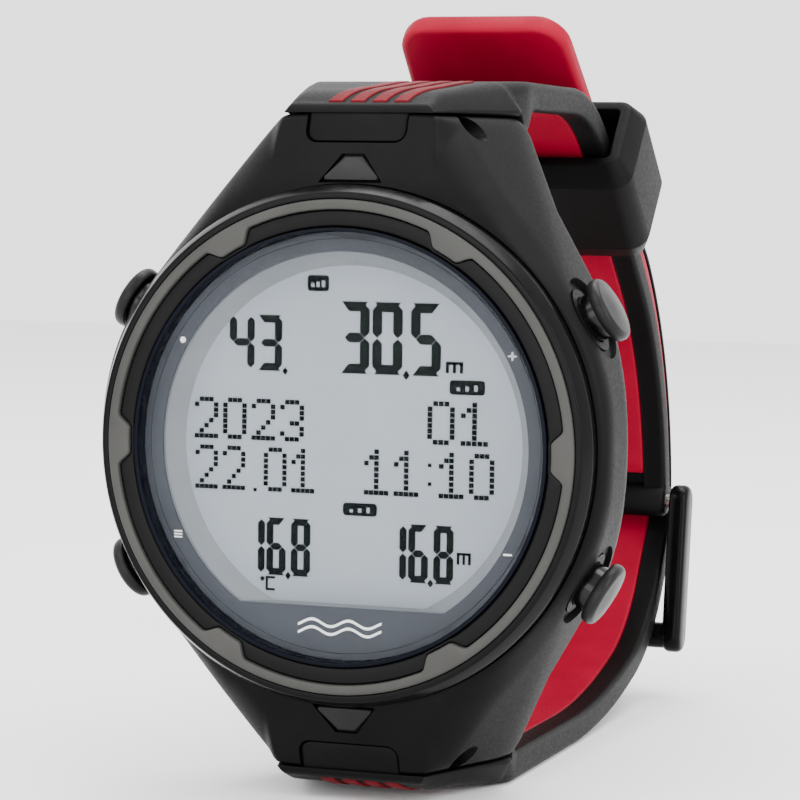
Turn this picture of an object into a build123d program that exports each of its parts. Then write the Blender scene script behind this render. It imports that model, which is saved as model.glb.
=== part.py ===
from build123d import *
import math
import os

# A wrist dive computer with a closed strap loop.  Millimetres.
# X points to 3 o'clock, Z to 12 o'clock and Y away from the reader, towards the wrist.
# The origin is the centre of the case back's outer face, which is the plane Y = 0.

# ---------------------------------------------------------------- case
CASE_THICKNESS = 16.0        # bezel front to case back
CASE_RADIUS = 26.0           # half width at 3 and 9 o'clock
LUG_END = 31.3               # height of the flat lug ends above the centre
LUG_HALF_WIDTH = 12.9
LUG_CORNER = 1.6
SHOULDER_FRONT = (7.5, -11.0, 31.3)     # three points of the flat cut that narrows each shoulder to the front
SHOULDER_BACK = (12.9, 2.6, 31.3)
SHOULDER_SIDE = (18.8, -11.0, 18.0)
SHELL_FRONT = -13.0
SHELL_BACK = -1.4
LUG_BACK = 2.6               # the lugs reach back past the case back
BORE = 18.85                 # radius of the round space for the module
NECK_RADIUS = 23.15
NECK_FRONT = -13.65
RING_SEAT = -11.7
GAP = 0.1                    # assembly clearance between fixed pieces
TONGUE_BACK = -3.9           # the strap tongues reach back to here in their notches
TONGUE_HALF_WIDTH = 5.0
TONGUE_DROP = 0.35           # notch centre below the lug end
PIN_Y = -6.8                 # lug pin centre
PIN_Z = 30.0
PIN_RADIUS = 0.8
PIN_HALF = 7.4
SCREW_HEAD = 1.1

# ---------------------------------------------------------------- front
BEZEL_FRONT = -CASE_THICKNESS
BEZEL_OUTER = 23.25
BEZEL_INNER = 22.3
BEZEL_BASE = -13.7
INSERT_FRONT = -15.6
INSERT_BACK = -14.6
TAB_REACH = 21.05
TAB_COUNT = 6
TAB_TIP_HALF_ANGLE = 3.6
TAB_ROOT_HALF_ANGLE = 6.6
RIM_OUTER = 20.6
RIM_INNER = 19.9
RIM_FRONT = -15.75
CRYSTAL_RADIUS = 20.2
CRYSTAL_FRONT = -15.5
CRYSTAL_BACK = -14.0
OUTER_RING_RADIUS = 24.6
OUTER_RING_FRONT = -15.7
MASK_RADIUS = 19.55
MASK_FRONT = -13.98
WINDOW_RADIUS = 18.35
WINDOW_CHORD = -15.2         # the window's flat lower edge
DISPLAY_RADIUS = 17.2
DISPLAY_FRONT = -11.5
DISPLAY_BACK = -10.3

# ---------------------------------------------------------------- module
BOARD_RADIUS = 16.6
BOARD_FRONT = -9.3
BOARD_BACK = -8.5
TRAY_BACK = -6.4
MODULE_RADIUS = 18.6
MODULE_WALL = 1.25
MODULE_BACK = -3.0
CELL_RADIUS = 10.0
CELL_THICKNESS = 3.2
SENSOR_Z = -14.6
SENSOR_RADIUS = 2.3

# ---------------------------------------------------------------- back
PLATE_RADIUS = 21.0
PLATE_FRONT = -2.1
HATCH_RADIUS = 11.6
LUG_START_ANGLE = 110        # keeps every bayonet lug clear of the sensor as the hatch turns
SCREW_X = 13.0
SCREW_Z = 19.5
EAR_RADIUS = 2.6

# ---------------------------------------------------------------- buttons
BUTTON_ANGLES = (29.0, 151.0, 209.0, 331.0)     # about the case axis, from 3 o'clock
BUTTON_Y = -7.75
CAP_RADIUS = 3.15
CAP_INNER = 27.2             # distances from the case axis along the button's own axis
CAP_OUTER = 28.7
NECK_OF_BUTTON = 2.3
SPOT_FACE = 25.3
BUSH_INNER = 19.3
BUSH_OUTER = 25.5
BUSH_RADIUS = 3.2
SPRING_SEAT = 21.8
NECK_INNER_END = 24.4
STEM_RADIUS = 1.05
STEM_END = 17.9
RUNNING = 0.05               # radial clearance of a sliding fit

# ---------------------------------------------------------------- strap
STRAP_HALF_WIDTH = 11.5
LAYER = 3.0                  # thickness of the long strap
SHORT_LAYER = 2.8            # thickness of the short strap
LAYER_GAP = 0.3
LINING = 1.3
LINING_HALF_WIDTH = 9.0
TAIL_HALF_WIDTH = 10.8
TAIL_TIP_HALF_WIDTH = 9.2
TAIL_CORNER = 3.4
TAIL_LINING = 1.7
STRAP_TOP = 35.0
STRAP_BOTTOM = -34.5
FLAT_START = 6.0             # the strap's underside is level between these two depths
FLAT_END = 27.0
LOW_RADIUS = 85.0            # the long strap's bends, outer face, case to tail
LOW_TURN = 17.0
CORNER_RADIUS = 22.0
CORNER_TURN = 37.0
BUCKLE_RUN = 7.0
HEEL_RADIUS = 10.0
HEEL_TURN = 40.0
BACK_RADIUS = 42.0
BACK_TURN = 44.3
TAIL_RUN = 38.0
CREST_RADIUS = 20.0          # where the short strap turns over the top
HOLE_LENGTH = 4.2
HOLE_WIDTH = 2.6
HOLE_PITCH = 7.4
LOW_HOLES = 3                # spare holes on the lower run
LOW_HOLE_START = 2.0         # first of them, ahead of the corner bend
BACK_HOLE_START = 4.0        # degrees into the back bend
HOLE_REACH = 12.0            # how far a hole cutter goes each way
USED_HOLE = 4.2              # from the start of the run through the buckle
USED_HOLE_LENGTH = 9.0       # the rubber stretches round the prong

# ---------------------------------------------------------------- buckle and keeper
BAR_RADIUS = 0.8
STRAP_EYE = 1.9              # radius of the short strap's rolled end
ARM_INNER = 12.1
ARM_OUTER = 14.3
ARM_RADIUS = 1.9
CROSSBAR_RADIUS = 1.5
CROSSBAR_FALL = 15.6         # crossbar centre below the buckle bar
CROSSBAR_INSET = 2.2         # and forward of it
BAR_HALF = 13.9
PRONG_HALF_WIDTH = 1.2
PRONG_EYE = 1.55
KEEPER_LENGTH = 15.0
KEEPER_START = 7.4           # along the straight stretch, from its lower end
KEEPER_WALL = 2.3
KEEPER_CLEARANCE = 0.5


# ================================================================ helpers
def plate(outline, back, front):
    """A flat outline in X and Z, made solid between two depths."""
    return extrude(Plane.XZ.offset(-back) * outline, back - front)


def ring(outer, inner, back, front):
    return plate(Circle(outer) - Circle(inner), back, front)


def slab(outline, half_width):
    """An outline in Y and Z, made solid to the same width each side of the centre."""
    return extrude(Plane.YZ * outline, half_width, both=True)


def side_slab(outline, near, far):
    """An outline in Y and Z, made solid between two values of X."""
    return Pos(near, 0, 0) * extrude(Plane.YZ * outline, far - near)


def turned(points):
    """A solid of revolution about the case axis from points (radius, depth)."""
    half = Plane.XY * make_face(Polyline(*points, close=True))
    return revolve(half, Axis.Y)


def radial(angle):
    """A frame whose Z runs outward along one button's axis, from the case axis."""
    turn = math.radians(angle)
    out = (math.cos(turn), 0, math.sin(turn))
    return Plane(origin=(0, BUTTON_Y, 0), x_dir=(0, 1, 0), z_dir=out)


def post(radius, start, end):
    """A cylinder along Z between two heights."""
    return Pos(0, 0, start) * Cylinder(radius, end - start, align=(Align.CENTER, Align.CENTER, Align.MIN))


def tube(outer, inner, start, end):
    return post(outer, start, end) - post(inner, start, end)


def trail(start, heading, steps, inset):
    """Edges of a path of runs and left-hand bends, moved inward by inset, and where it ends."""
    y, z = start
    angle = math.radians(heading)
    y -= inset * math.sin(angle)
    z += inset * math.cos(angle)
    edges = []
    for radius, amount in steps:
        if radius is None:
            end = (y + amount * math.cos(angle), z + amount * math.sin(angle))
            edges.append(Line((y, z), end))
            y, z = end
            continue
        bend = radius - inset
        centre = (y - bend * math.sin(angle), z + bend * math.cos(angle))
        edges.append(CenterArc(centre, bend, math.degrees(angle) - 90, amount))
        angle += math.radians(amount)
        y = centre[0] + bend * math.sin(angle)
        z = centre[1] - bend * math.cos(angle)
    return edges, (y, z), math.degrees(angle)


def band(start, heading, steps, near, far):
    """The closed outline of a strap layer between two insets of one path."""
    outer, outer_end, _ = trail(start, heading, steps, near)
    inner, inner_end, _ = trail(start, heading, steps, far)
    caps = [Line(outer[0] @ 0, inner[0] @ 0), Line(outer_end, inner_end)]
    return make_face(outer + inner + caps)


# ================================================================ strap paths
LONG_START = (FLAT_START, STRAP_BOTTOM)
LONG_LOWER = [(None, FLAT_END - FLAT_START), (LOW_RADIUS, LOW_TURN), (CORNER_RADIUS, CORNER_TURN),
              (None, BUCKLE_RUN), (HEEL_RADIUS, HEEL_TURN)]
LONG_UPPER = [(BACK_RADIUS, BACK_TURN), (None, TAIL_RUN)]
_, TAIL_START, TAIL_HEADING = trail(LONG_START, 0, LONG_LOWER, 0)
_, STRAIGHT_START, STRAIGHT_HEADING = trail(TAIL_START, TAIL_HEADING, LONG_UPPER[:1], 0)
_, BUCKLE_RUN_START, BUCKLE_HEADING = trail(LONG_START, 0, LONG_LOWER[:3], 0)

turn = math.radians(TAIL_HEADING)
BACK_CENTRE = (TAIL_START[0] - BACK_RADIUS * math.sin(turn), TAIL_START[1] + BACK_RADIUS * math.cos(turn))
SHORT_RADIUS = BACK_RADIUS - LAYER - LAYER_GAP
BAR_LIFT = 2.5               # degrees above the centre of the back bend
bar_reach = SHORT_RADIUS - STRAP_EYE
BAR = (BACK_CENTRE[0] + bar_reach * math.cos(math.radians(BAR_LIFT)),
       BACK_CENTRE[1] + bar_reach * math.sin(math.radians(BAR_LIFT)))
SHORT_START = (BACK_CENTRE[0] + SHORT_RADIUS * math.cos(math.radians(BAR_LIFT)),
               BACK_CENTRE[1] + SHORT_RADIUS * math.sin(math.radians(BAR_LIFT)))
short_bend = STRAIGHT_HEADING - 90 - BAR_LIFT
_, short_straight, _ = trail(SHORT_START, 90 + BAR_LIFT, [(SHORT_RADIUS, short_bend)], 0)
crest_turn = 180 - STRAIGHT_HEADING
crest_rise = CREST_RADIUS * (1 - math.cos(math.radians(crest_turn)))
STRAIGHT_RUN = (STRAP_TOP - crest_rise - short_straight[1]) / math.sin(math.radians(STRAIGHT_HEADING))
SHORT_STEPS = [(SHORT_RADIUS, short_bend), (None, STRAIGHT_RUN), (CREST_RADIUS, crest_turn)]
_, CREST_END, _ = trail(SHORT_START, 90 + BAR_LIFT, SHORT_STEPS, 0)
ROOT_DEPTH = 9.0             # the strap roots are thick in front of this depth
SHORT_STEPS = SHORT_STEPS + [(None, CREST_END[0] - ROOT_DEPTH)]
CROSSBAR = (BAR[0] - CROSSBAR_INSET, BAR[1] - CROSSBAR_FALL)


# ================================================================ case
def lug_outline(grow=0.0):
    """The case seen from the front: a round body with four straight shoulders."""
    corner_x = LUG_HALF_WIDTH - LUG_CORNER
    corner_z = LUG_END - LUG_CORNER
    corners = Locations((corner_x, corner_z), (-corner_x, corner_z), (-corner_x, -corner_z), (corner_x, -corner_z))
    rounds = [loc * Circle(LUG_CORNER + grow) for loc in corners]
    edges = Circle(CASE_RADIUS + grow).edges()
    for item in rounds:
        edges += item.edges()
    return make_hull(edges)


def shoulder_cuts():
    """What lies outside the slanting flank of each of the four shoulders."""
    front, back, side = Vector(*SHOULDER_FRONT), Vector(*SHOULDER_BACK), Vector(*SHOULDER_SIDE)
    outward = (side - front).cross(back - front)
    if outward.X < 0:
        outward = outward * -1
    face = Plane(origin=front, x_dir=side - front, z_dir=outward)
    one = face.location * Box(90, 90, 20, align=(Align.CENTER, Align.CENTER, Align.MIN))
    pair = [one, mirror(one, Plane.YZ)]
    return pair + [mirror(item, Plane.XY) for item in pair]


def case_blank():
    """Three crossed outlines: from the front, from the side and from above."""
    front = plate(lug_outline(), LUG_BACK, SHELL_FRONT)
    side = Polyline((SHELL_FRONT, -24), (-10.6, -LUG_END - 1), (LUG_BACK, -LUG_END - 1), (LUG_BACK, -29.6),
                    (SHELL_BACK, -22.4), (SHELL_BACK, 22.4), (LUG_BACK, 29.6), (LUG_BACK, LUG_END + 1),
                    (-10.6, LUG_END + 1), (SHELL_FRONT, 24), close=True)
    side = slab(make_face(side), 40)
    above = Polyline((-25.0, SHELL_FRONT), (25.0, SHELL_FRONT), (CASE_RADIUS, -12), (CASE_RADIUS, -6.5),
                     (22.8, SHELL_BACK), (22.8, 4), (-22.8, 4), (-22.8, SHELL_BACK), (-CASE_RADIUS, -6.5),
                     (-CASE_RADIUS, -12), close=True)
    above = extrude(Plane.XY * make_face(above), 40, both=True)
    blank = front & side & above
    for cutter in shoulder_cuts():
        blank -= cutter
    return blank


def pin_along_x(radius, near, far, y, z):
    return Pos(near, y, z) * Rot(0, 90, 0) * post(radius, 0, far - near)


def plate_outline(grow=0.0):
    """Case back outline: a disc with an ear at each screw."""
    shape = Circle(PLATE_RADIUS + grow)
    for x in (-SCREW_X, SCREW_X):
        for z in (-SCREW_Z, SCREW_Z):
            shape += Pos(x, z) * Circle(EAR_RADIUS + grow)
    return shape


def marker(sign, grow=0.0):
    """The small trapezoid on a shoulder, lying on the sloping face."""
    shape = make_face(Polyline((-3.1 - grow, 24.9 - grow), (3.1 + grow, 24.9 - grow), (1.0 + grow, 27.4 + grow),
                               (-1.0 - grow, 27.4 + grow), close=True))
    solid = plate(shape, -11.2 + grow, -14)
    slope = make_face(Polyline((-13.05, 24), (-10.75, 31), (-6, 31), (-6, 24), close=True))
    solid = solid & slab(slope, 5)
    if sign < 0:
        solid = mirror(solid, Plane.XY)
    return solid


def case_shell():
    shell = case_blank()
    shell += ring(NECK_RADIUS, BORE, RING_SEAT + 0.5, NECK_FRONT)
    shell -= ring(OUTER_RING_RADIUS + GAP, NECK_RADIUS, RING_SEAT, SHELL_FRONT - 1)
    shell -= plate(Circle(BORE), LUG_BACK + 1, NECK_FRONT - 1)
    shell -= plate(plate_outline(GAP), LUG_BACK + 1, PLATE_FRONT)
    shell -= ring(20.3, 19.2, PLATE_FRONT + 0.1, -3.15)
    for angle in BUTTON_ANGLES:
        shell -= radial(angle).location * post(BUSH_RADIUS + RUNNING, BORE - 2, CASE_RADIUS + 3)
        shell -= radial(angle).location * post(CAP_RADIUS + 1.0, SPOT_FACE, CASE_RADIUS + 3)
    for sign in (1, -1):
        notch = Pos(0, sign * (LUG_END - TONGUE_DROP)) * Rectangle(2 * (TONGUE_HALF_WIDTH + GAP), 4.9)
        shell -= plate(notch, TONGUE_BACK + GAP, SHELL_FRONT - 1)
        shell -= pin_along_x(PIN_RADIUS + RUNNING, -16, 16, PIN_Y, sign * PIN_Z)
        for side in (1, -1):
            near, far = sorted((side * PIN_HALF, side * 16))
            shell -= pin_along_x(SCREW_HEAD + GAP, near, far, PIN_Y, sign * PIN_Z)
        shell -= marker(sign, GAP)
    for x in (-SCREW_X, SCREW_X):
        for z in (-SCREW_Z, SCREW_Z):
            shell -= plate(Pos(x, z) * Circle(0.85), PLATE_FRONT + 0.1, -7)
    return shell


# ================================================================ bezel and crystal
def tab_outline(grow=0.0):
    """Six inward tabs with flared sides."""
    shape = Sketch()
    for k in range(TAB_COUNT):
        corners = []
        for half, reach in ((TAB_ROOT_HALF_ANGLE, BEZEL_INNER + 0.3), (TAB_TIP_HALF_ANGLE, TAB_REACH - grow)):
            angle = math.radians(half) + grow / reach
            corners.append((reach * math.sin(angle), reach * math.cos(angle)))
        right = [corners[0], corners[1]]
        left = [(-x, z) for x, z in reversed(right)]
        shape += Rot(0, 0, 360 / TAB_COUNT * (k + 0.5)) * make_face(Polyline(*right, *left, close=True))
    return shape


def bezel_ring():
    flange = Circle(BEZEL_OUTER) - Circle(BEZEL_INNER) + tab_outline()
    upper = plate(flange, INSERT_BACK, BEZEL_FRONT)
    return upper + ring(BEZEL_OUTER, RIM_OUTER + 0.05, BEZEL_BASE, INSERT_BACK)


def bezel_insert():
    shape = Circle(BEZEL_INNER - 0.05) - Circle(RIM_OUTER + 0.05) - tab_outline(0.05)
    return plate(shape, INSERT_BACK, INSERT_FRONT)


def outer_ring():
    return turned([(BEZEL_OUTER + 0.05, RING_SEAT), (OUTER_RING_RADIUS, RING_SEAT), (OUTER_RING_RADIUS, -14.3),
                   (23.9, OUTER_RING_FRONT), (BEZEL_OUTER + 0.05, OUTER_RING_FRONT)])


def crystal_rim():
    return turned([(RIM_INNER, CRYSTAL_FRONT), (RIM_INNER, RIM_FRONT + 0.1), (RIM_INNER + 0.2, RIM_FRONT),
                   (RIM_OUTER, RIM_FRONT), (RIM_OUTER, BEZEL_BASE), (CRYSTAL_RADIUS + 0.05, BEZEL_BASE),
                   (CRYSTAL_RADIUS + 0.05, CRYSTAL_FRONT)])


def window():
    """The opening that the display is read through."""
    return Circle(WINDOW_RADIUS) & Pos(0, WINDOW_CHORD + 25) * Rectangle(60, 50)


def display_wall():
    """The tapered wall between the mask and the display."""
    cone = turned([(0, NECK_FRONT), (WINDOW_RADIUS, NECK_FRONT), (WINDOW_RADIUS, -13.2),
                   (DISPLAY_RADIUS - 0.2, DISPLAY_FRONT), (0, DISPLAY_FRONT)])
    clip = plate(Pos(0, WINDOW_CHORD + 25) * Rectangle(60, 50), DISPLAY_FRONT + 1, NECK_FRONT - 1)
    return plate(Circle(MODULE_RADIUS + 0.1), DISPLAY_FRONT, NECK_FRONT) - (cone & clip)


# ================================================================ module
def chip(x, z, width, height, depth):
    return plate(Pos(x, z) * Rectangle(width, height), BOARD_BACK + depth, BOARD_BACK)


def chips():
    """Controller, memory, radio and clock crystal on the back of the board."""
    controller = chip(-1, 7.0, 7, 7, 1.0)
    memory = chip(8.0, -2.0, 5, 4, 0.9)
    radio = chip(-8.5, -3.5, 4, 6, 0.9)
    clock = chip(6.0, -9.0, 3.2, 1.5, 0.8)
    return [controller, memory, radio, clock]


def switches():
    """One side-acting switch in line with each button stem."""
    found = []
    for angle in BUTTON_ANGLES:
        body = Pos(0, 0, 13.4) * Box(1.5, 4.2, 3.2, align=(Align.CENTER, Align.CENTER, Align.MIN))
        found.append(radial(angle).location * body)
    return found


def module_frame():
    """A ring round the display stack with a tray for the cell, open at each button."""
    frame = ring(MODULE_RADIUS, MODULE_RADIUS - MODULE_WALL, MODULE_BACK, DISPLAY_FRONT + 0.05)
    tray = Circle(MODULE_RADIUS - 0.4) - Circle(4.4) - Pos(0, SENSOR_Z) * Circle(SENSOR_RADIUS + 0.15)
    frame += plate(tray, TRAY_BACK, TRAY_BACK - 0.45)
    frame += ring(CELL_RADIUS + 1.0, CELL_RADIUS + 0.2, MODULE_BACK - 0.6, TRAY_BACK)
    frame += ring(MODULE_RADIUS - 0.3, BOARD_RADIUS - 0.8, BOARD_FRONT - 0.05, BOARD_FRONT - 0.4)
    for angle in BUTTON_ANGLES:
        opening = Pos(0, 0, 16) * Box(6.4, 6.4, 6, align=(Align.CENTER, Align.CENTER, Align.MIN))
        frame -= radial(angle).location * opening
    return frame


def cell_spring():
    """A leaf that presses the board's contact against the cell."""
    outline = make_face(Polyline((-8.4, -1.6), (-8.1, -1.6), (-8.1, 2.2), (-6.45, 3.4), (-6.45, 3.8), (-8.4, 2.4),
                                 close=True))
    return slab(outline, 1.2)


# ================================================================ back
def case_back():
    body = plate(plate_outline(), 0, PLATE_FRONT)
    body -= plate(Circle(HATCH_RADIUS + 0.1), 1, PLATE_FRONT - 1)
    for x in (-SCREW_X, SCREW_X):
        for z in (-SCREW_Z, SCREW_Z):
            body -= plate(Pos(x, z) * Circle(0.9), 1, PLATE_FRONT - 1)
            body -= plate(Pos(x, z) * Circle(1.7), 1, -1.1)
    body -= plate(Pos(0, SENSOR_Z) * Circle(2.2), 1, -1.1)
    body -= plate(Pos(0, SENSOR_Z) * Circle(1.3), 1, PLATE_FRONT - 1)
    return body


def case_back_screws():
    found = []
    for x in (-SCREW_X, SCREW_X):
        for z in (-SCREW_Z, SCREW_Z):
            screw = plate(Pos(x, z) * Circle(1.6), -0.2, -1.05)
            screw += plate(Pos(x, z) * Circle(0.8), -1.0, -6.4)
            screw -= plate(Pos(x, z) * Rectangle(0.5, 1.8), 0, -0.6)
            screw -= plate(Pos(x, z) * Rectangle(1.8, 0.5), 0, -0.6)
            found.append(screw)
    return found


def battery_hatch():
    """A round plug with a seal groove, three bayonet lugs and two key recesses."""
    body = plate(Circle(HATCH_RADIUS), 0, -2.9)
    body -= ring(HATCH_RADIUS + 1, 10.9, -0.8, -1.55)
    for k in range(3):
        lug = Pos(HATCH_RADIUS, 0) * Rectangle(2.2, 4.5)
        body += plate(Rot(0, 0, 120 * k + LUG_START_ANGLE) * lug, -2.2, -2.9)
    for x in (-7.5, 7.5):
        body -= plate(Pos(x, 0) * Circle(1.1), 1, -1.2)
    return body


def torus_about_case_axis(major, minor, depth):
    return Pos(0, depth, 0) * Rot(90, 0, 0) * Torus(major, minor)


def sensor_grille():
    shape = Circle(2.1)
    for spot in PolarLocations(1.2, 5):
        shape -= spot * Circle(0.3)
    return plate(Pos(0, SENSOR_Z) * shape, -0.15, -1.0)


# ================================================================ buttons
def button_cap():
    cap = post(CAP_RADIUS, CAP_INNER, CAP_OUTER)
    cap = fillet(cap.edges().group_by(Axis.Z)[-1], 0.6)
    cap = fillet(cap.edges().group_by(Axis.Z)[0], 0.3)
    cap += post(NECK_OF_BUTTON, NECK_INNER_END, CAP_INNER + 0.2)
    return cap - post(STEM_RADIUS, NECK_INNER_END - 1, CAP_INNER)


def button_stem():
    stem = post(STEM_RADIUS, STEM_END, CAP_INNER)
    return stem - tube(STEM_RADIUS + 1, 0.75, BUSH_INNER - 0.6, BUSH_INNER - 0.1)


def button_bush():
    bush = post(BUSH_RADIUS, BUSH_INNER, BUSH_OUTER)
    bush -= post(STEM_RADIUS + RUNNING, BUSH_INNER - 1, BUSH_OUTER + 1)
    bush -= post(NECK_OF_BUTTON + 0.1, SPRING_SEAT, BUSH_OUTER + 1)
    return bush - tube(1.85, STEM_RADIUS, 20.2, 20.95)


def button_spring():
    height = NECK_INNER_END - SPRING_SEAT - 0.4
    coil = Helix(pitch=height / 3, height=height, radius=1.65)
    wire = Plane(origin=coil @ 0, z_dir=coil % 0) * Circle(0.18)
    return Pos(0, 0, SPRING_SEAT + 0.2) * sweep(wire, path=coil)


# ================================================================ strap
def mirrored(shape):
    return mirror(shape, Plane.XY)


def root_outline(crest, depth, layer):
    """The thick end of a strap where it meets the lugs, seen from the side."""
    front = Line((-10.55, LUG_END + 0.1), (-9.6, 32.4))
    crown = Spline((-9.6, 32.4), (-3.0, crest - 0.9), (depth, crest), tangents=((1, 0.75), (1, 0)))
    rest = Polyline((depth, crest), (depth, crest - layer), (depth - 1, 30.6), (LUG_BACK + 1.6, 29.9),
                    (LUG_BACK + 0.2, 29.9), (LUG_BACK + 0.2, LUG_END + 0.1), (-10.55, LUG_END + 0.1))
    return make_face([front, crown] + list(rest.edges()))


def strap_root(crest, depth, layer):
    """Root block with its tongue, drilled for the lug pin, for the 12 o'clock side."""
    block = slab(root_outline(crest, depth, layer), LUG_HALF_WIDTH - 0.3)
    for cutter in shoulder_cuts()[:2]:
        block -= cutter
    tongue = plate(Pos(0, LUG_END - 0.25) * Rectangle(2 * TONGUE_HALF_WIDTH, 4.6), TONGUE_BACK, -10.7)
    block += tongue & slab(make_face(Polyline((-11.2, 28), (-10.2, 33.6), (0, 33.6), (0, 28), close=True)), 6)
    return block - pin_along_x(PIN_RADIUS + RUNNING, -16, 16, PIN_Y, PIN_Z)


def prong_outline():
    """The prong's flat tongue from the bar to past the crossbar, seen from the side."""
    y, z = BAR
    out = CROSSBAR[0] + CROSSBAR_RADIUS + 0.1
    low = CROSSBAR[1]
    return make_face(Polyline((y - 0.9, z), (y + 0.8, z), (out + 1.5, low + 1.0), (out + 1.3, low - 1.2),
                              (out, low - 1.4), (out, low + 1.0), close=True))


def strap_short():
    """Short strap: from the buckle bar over the top to the 12 o'clock lugs."""
    solid = slab(band(SHORT_START, 90 + BAR_LIFT, SHORT_STEPS, 0, SHORT_LAYER), STRAP_HALF_WIDTH)
    eye = slab(Pos(*BAR) * Circle(STRAP_EYE), STRAP_HALF_WIDTH)
    solid = solid + eye + strap_root(STRAP_TOP, ROOT_DEPTH, SHORT_LAYER)
    solid -= slab(Pos(*BAR) * Circle(BAR_RADIUS + 0.07), 20)
    return solid - slab(Pos(*BAR) * Circle(STRAP_EYE + 1.6), 2.0) - strap_short_lining()


def strap_short_lining():
    steps = [(SHORT_RADIUS, short_bend - 5)] + SHORT_STEPS[1:]
    _, start, heading = trail(SHORT_START, 90 + BAR_LIFT, [(SHORT_RADIUS, 5)], 0)
    steps[-1] = (None, steps[-1][1] - 1.5)
    face = band(start, heading, steps, SHORT_LAYER - LINING, SHORT_LAYER)
    return slab(face, LINING_HALF_WIDTH)


def hole_cutter(point, angle, length):
    turn = math.radians(angle)
    along = (0, math.cos(turn), math.sin(turn))
    frame = Plane(origin=(0, point[0], point[1]), x_dir=along, z_dir=(0, -math.sin(turn), math.cos(turn)))
    return extrude(frame * SlotOverall(length, HOLE_WIDTH), HOLE_REACH, both=True)


def tail_plate(near, far):
    """The straight free end, tapered and rounded at its tip, between two insets."""
    turn = math.radians(STRAIGHT_HEADING)
    outward = (0, math.sin(turn), -math.cos(turn))
    frame = Plane(origin=(0, *STRAIGHT_START), x_dir=(1, 0, 0), z_dir=outward).offset(-far)
    outline = make_face(Polyline((-TAIL_HALF_WIDTH, 0), (TAIL_HALF_WIDTH, 0), (TAIL_TIP_HALF_WIDTH, -TAIL_RUN),
                                 (-TAIL_TIP_HALF_WIDTH, -TAIL_RUN), close=True))
    outline = fillet(outline.vertices().group_by(Axis.Y)[0], TAIL_CORNER)
    return extrude(frame * outline, far - near)


def long_strap_holes():
    """The hole that the prong is in, then more towards the case."""
    _, used, _ = trail(BUCKLE_RUN_START, BUCKLE_HEADING, [(None, USED_HOLE)], 0)
    cutters = [hole_cutter(used, BUCKLE_HEADING, USED_HOLE_LENGTH)]
    steps = LONG_LOWER[:3]
    swept = math.degrees(HOLE_PITCH / CORNER_RADIUS)
    for k in (1, 2):
        shorter = steps[:2] + [(CORNER_RADIUS, CORNER_TURN + USED_HOLE / CORNER_RADIUS - k * swept)]
        _, point, angle = trail(LONG_START, 0, shorter, 0)
        cutters.append(hole_cutter(point, angle, HOLE_LENGTH))
    for k in range(LOW_HOLES):
        shorter = steps[:1] + [(LOW_RADIUS, LOW_TURN - math.degrees((LOW_HOLE_START + k * HOLE_PITCH) / LOW_RADIUS))]
        _, point, angle = trail(LONG_START, 0, shorter, 0)
        cutters.append(hole_cutter(point, angle, HOLE_LENGTH))
    for k in (1, 2):
        turned_by = BACK_HOLE_START + k * math.degrees(HOLE_PITCH / BACK_RADIUS)
        _, point, angle = trail(TAIL_START, TAIL_HEADING, [(BACK_RADIUS, turned_by)], 0)
        cutters.append(hole_cutter(point, angle, HOLE_LENGTH))
    return cutters


def strap_long_lining():
    """Red inner face of the long strap: inlaid as far as the buckle, full width on the tail."""
    first = (None, FLAT_END - FLAT_START - 1.5)
    lower = band((FLAT_START + 1.5, STRAP_BOTTOM), 0, [first] + LONG_LOWER[1:], LAYER - LINING, LAYER)
    solid = slab(lower, LINING_HALF_WIDTH)
    bend = band(TAIL_START, TAIL_HEADING, LONG_UPPER[:1], LAYER - TAIL_LINING, LAYER)
    solid = solid + slab(bend, TAIL_HALF_WIDTH) + tail_plate(LAYER - TAIL_LINING, LAYER)
    for cutter in long_strap_holes():
        solid -= cutter
    return solid


def strap_long():
    """Long strap: from the 6 o'clock lugs through the buckle and keeper to its free end."""
    solid = slab(band(LONG_START, 0, LONG_LOWER, 0, LAYER), STRAP_HALF_WIDTH)
    solid += mirrored(strap_root(-STRAP_BOTTOM, FLAT_START, LAYER))
    bend = band(TAIL_START, TAIL_HEADING, LONG_UPPER[:1], 0, LAYER - TAIL_LINING)
    solid += slab(bend, TAIL_HALF_WIDTH)
    solid += tail_plate(0, LAYER - TAIL_LINING)
    for cutter in long_strap_holes():
        solid -= cutter
    return solid - strap_long_lining()


def emblem(crest, depth, layer):
    """Slanted bars laid on a strap root: a plain decoration."""
    outline = root_outline(crest, depth, layer)
    skin = Pos(0, 0, 0.2) * slab(outline, 10) - slab(outline, 11)
    found = []
    for k in range(4):
        x = -6.0 + 3.0 * k
        foot = make_face(Polyline((x, -6.0), (x + 1.7, -6.0), (x + 3.4, 4.0), (x + 1.7, 4.0), close=True))
        found.append(extrude(Pos(0, 0, 30) * (Plane.XY * foot), 10) & skin)
    return found


# ================================================================ keeper and buckle
def keeper():
    """A chunky rubber loop round both straps."""
    turn = math.radians(STRAIGHT_HEADING)
    along = (0, math.cos(turn), math.sin(turn))
    start = (0, STRAIGHT_START[0] + KEEPER_START * along[1], STRAIGHT_START[1] + KEEPER_START * along[2])
    frame = Plane(origin=start, x_dir=(1, 0, 0), z_dir=along)
    low = -(LAYER + LAYER_GAP + SHORT_LAYER + KEEPER_CLEARANCE)
    height = KEEPER_CLEARANCE - low
    middle = (KEEPER_CLEARANCE + low) / 2
    width = 2 * (STRAP_HALF_WIDTH + KEEPER_CLEARANCE)
    outer = Pos(0, middle) * RectangleRounded(width + 2 * KEEPER_WALL, height + 2 * KEEPER_WALL, 2.2)
    inner = Pos(0, middle) * RectangleRounded(width, height, 0.6)
    return extrude(frame * (outer - inner), KEEPER_LENGTH)


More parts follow.
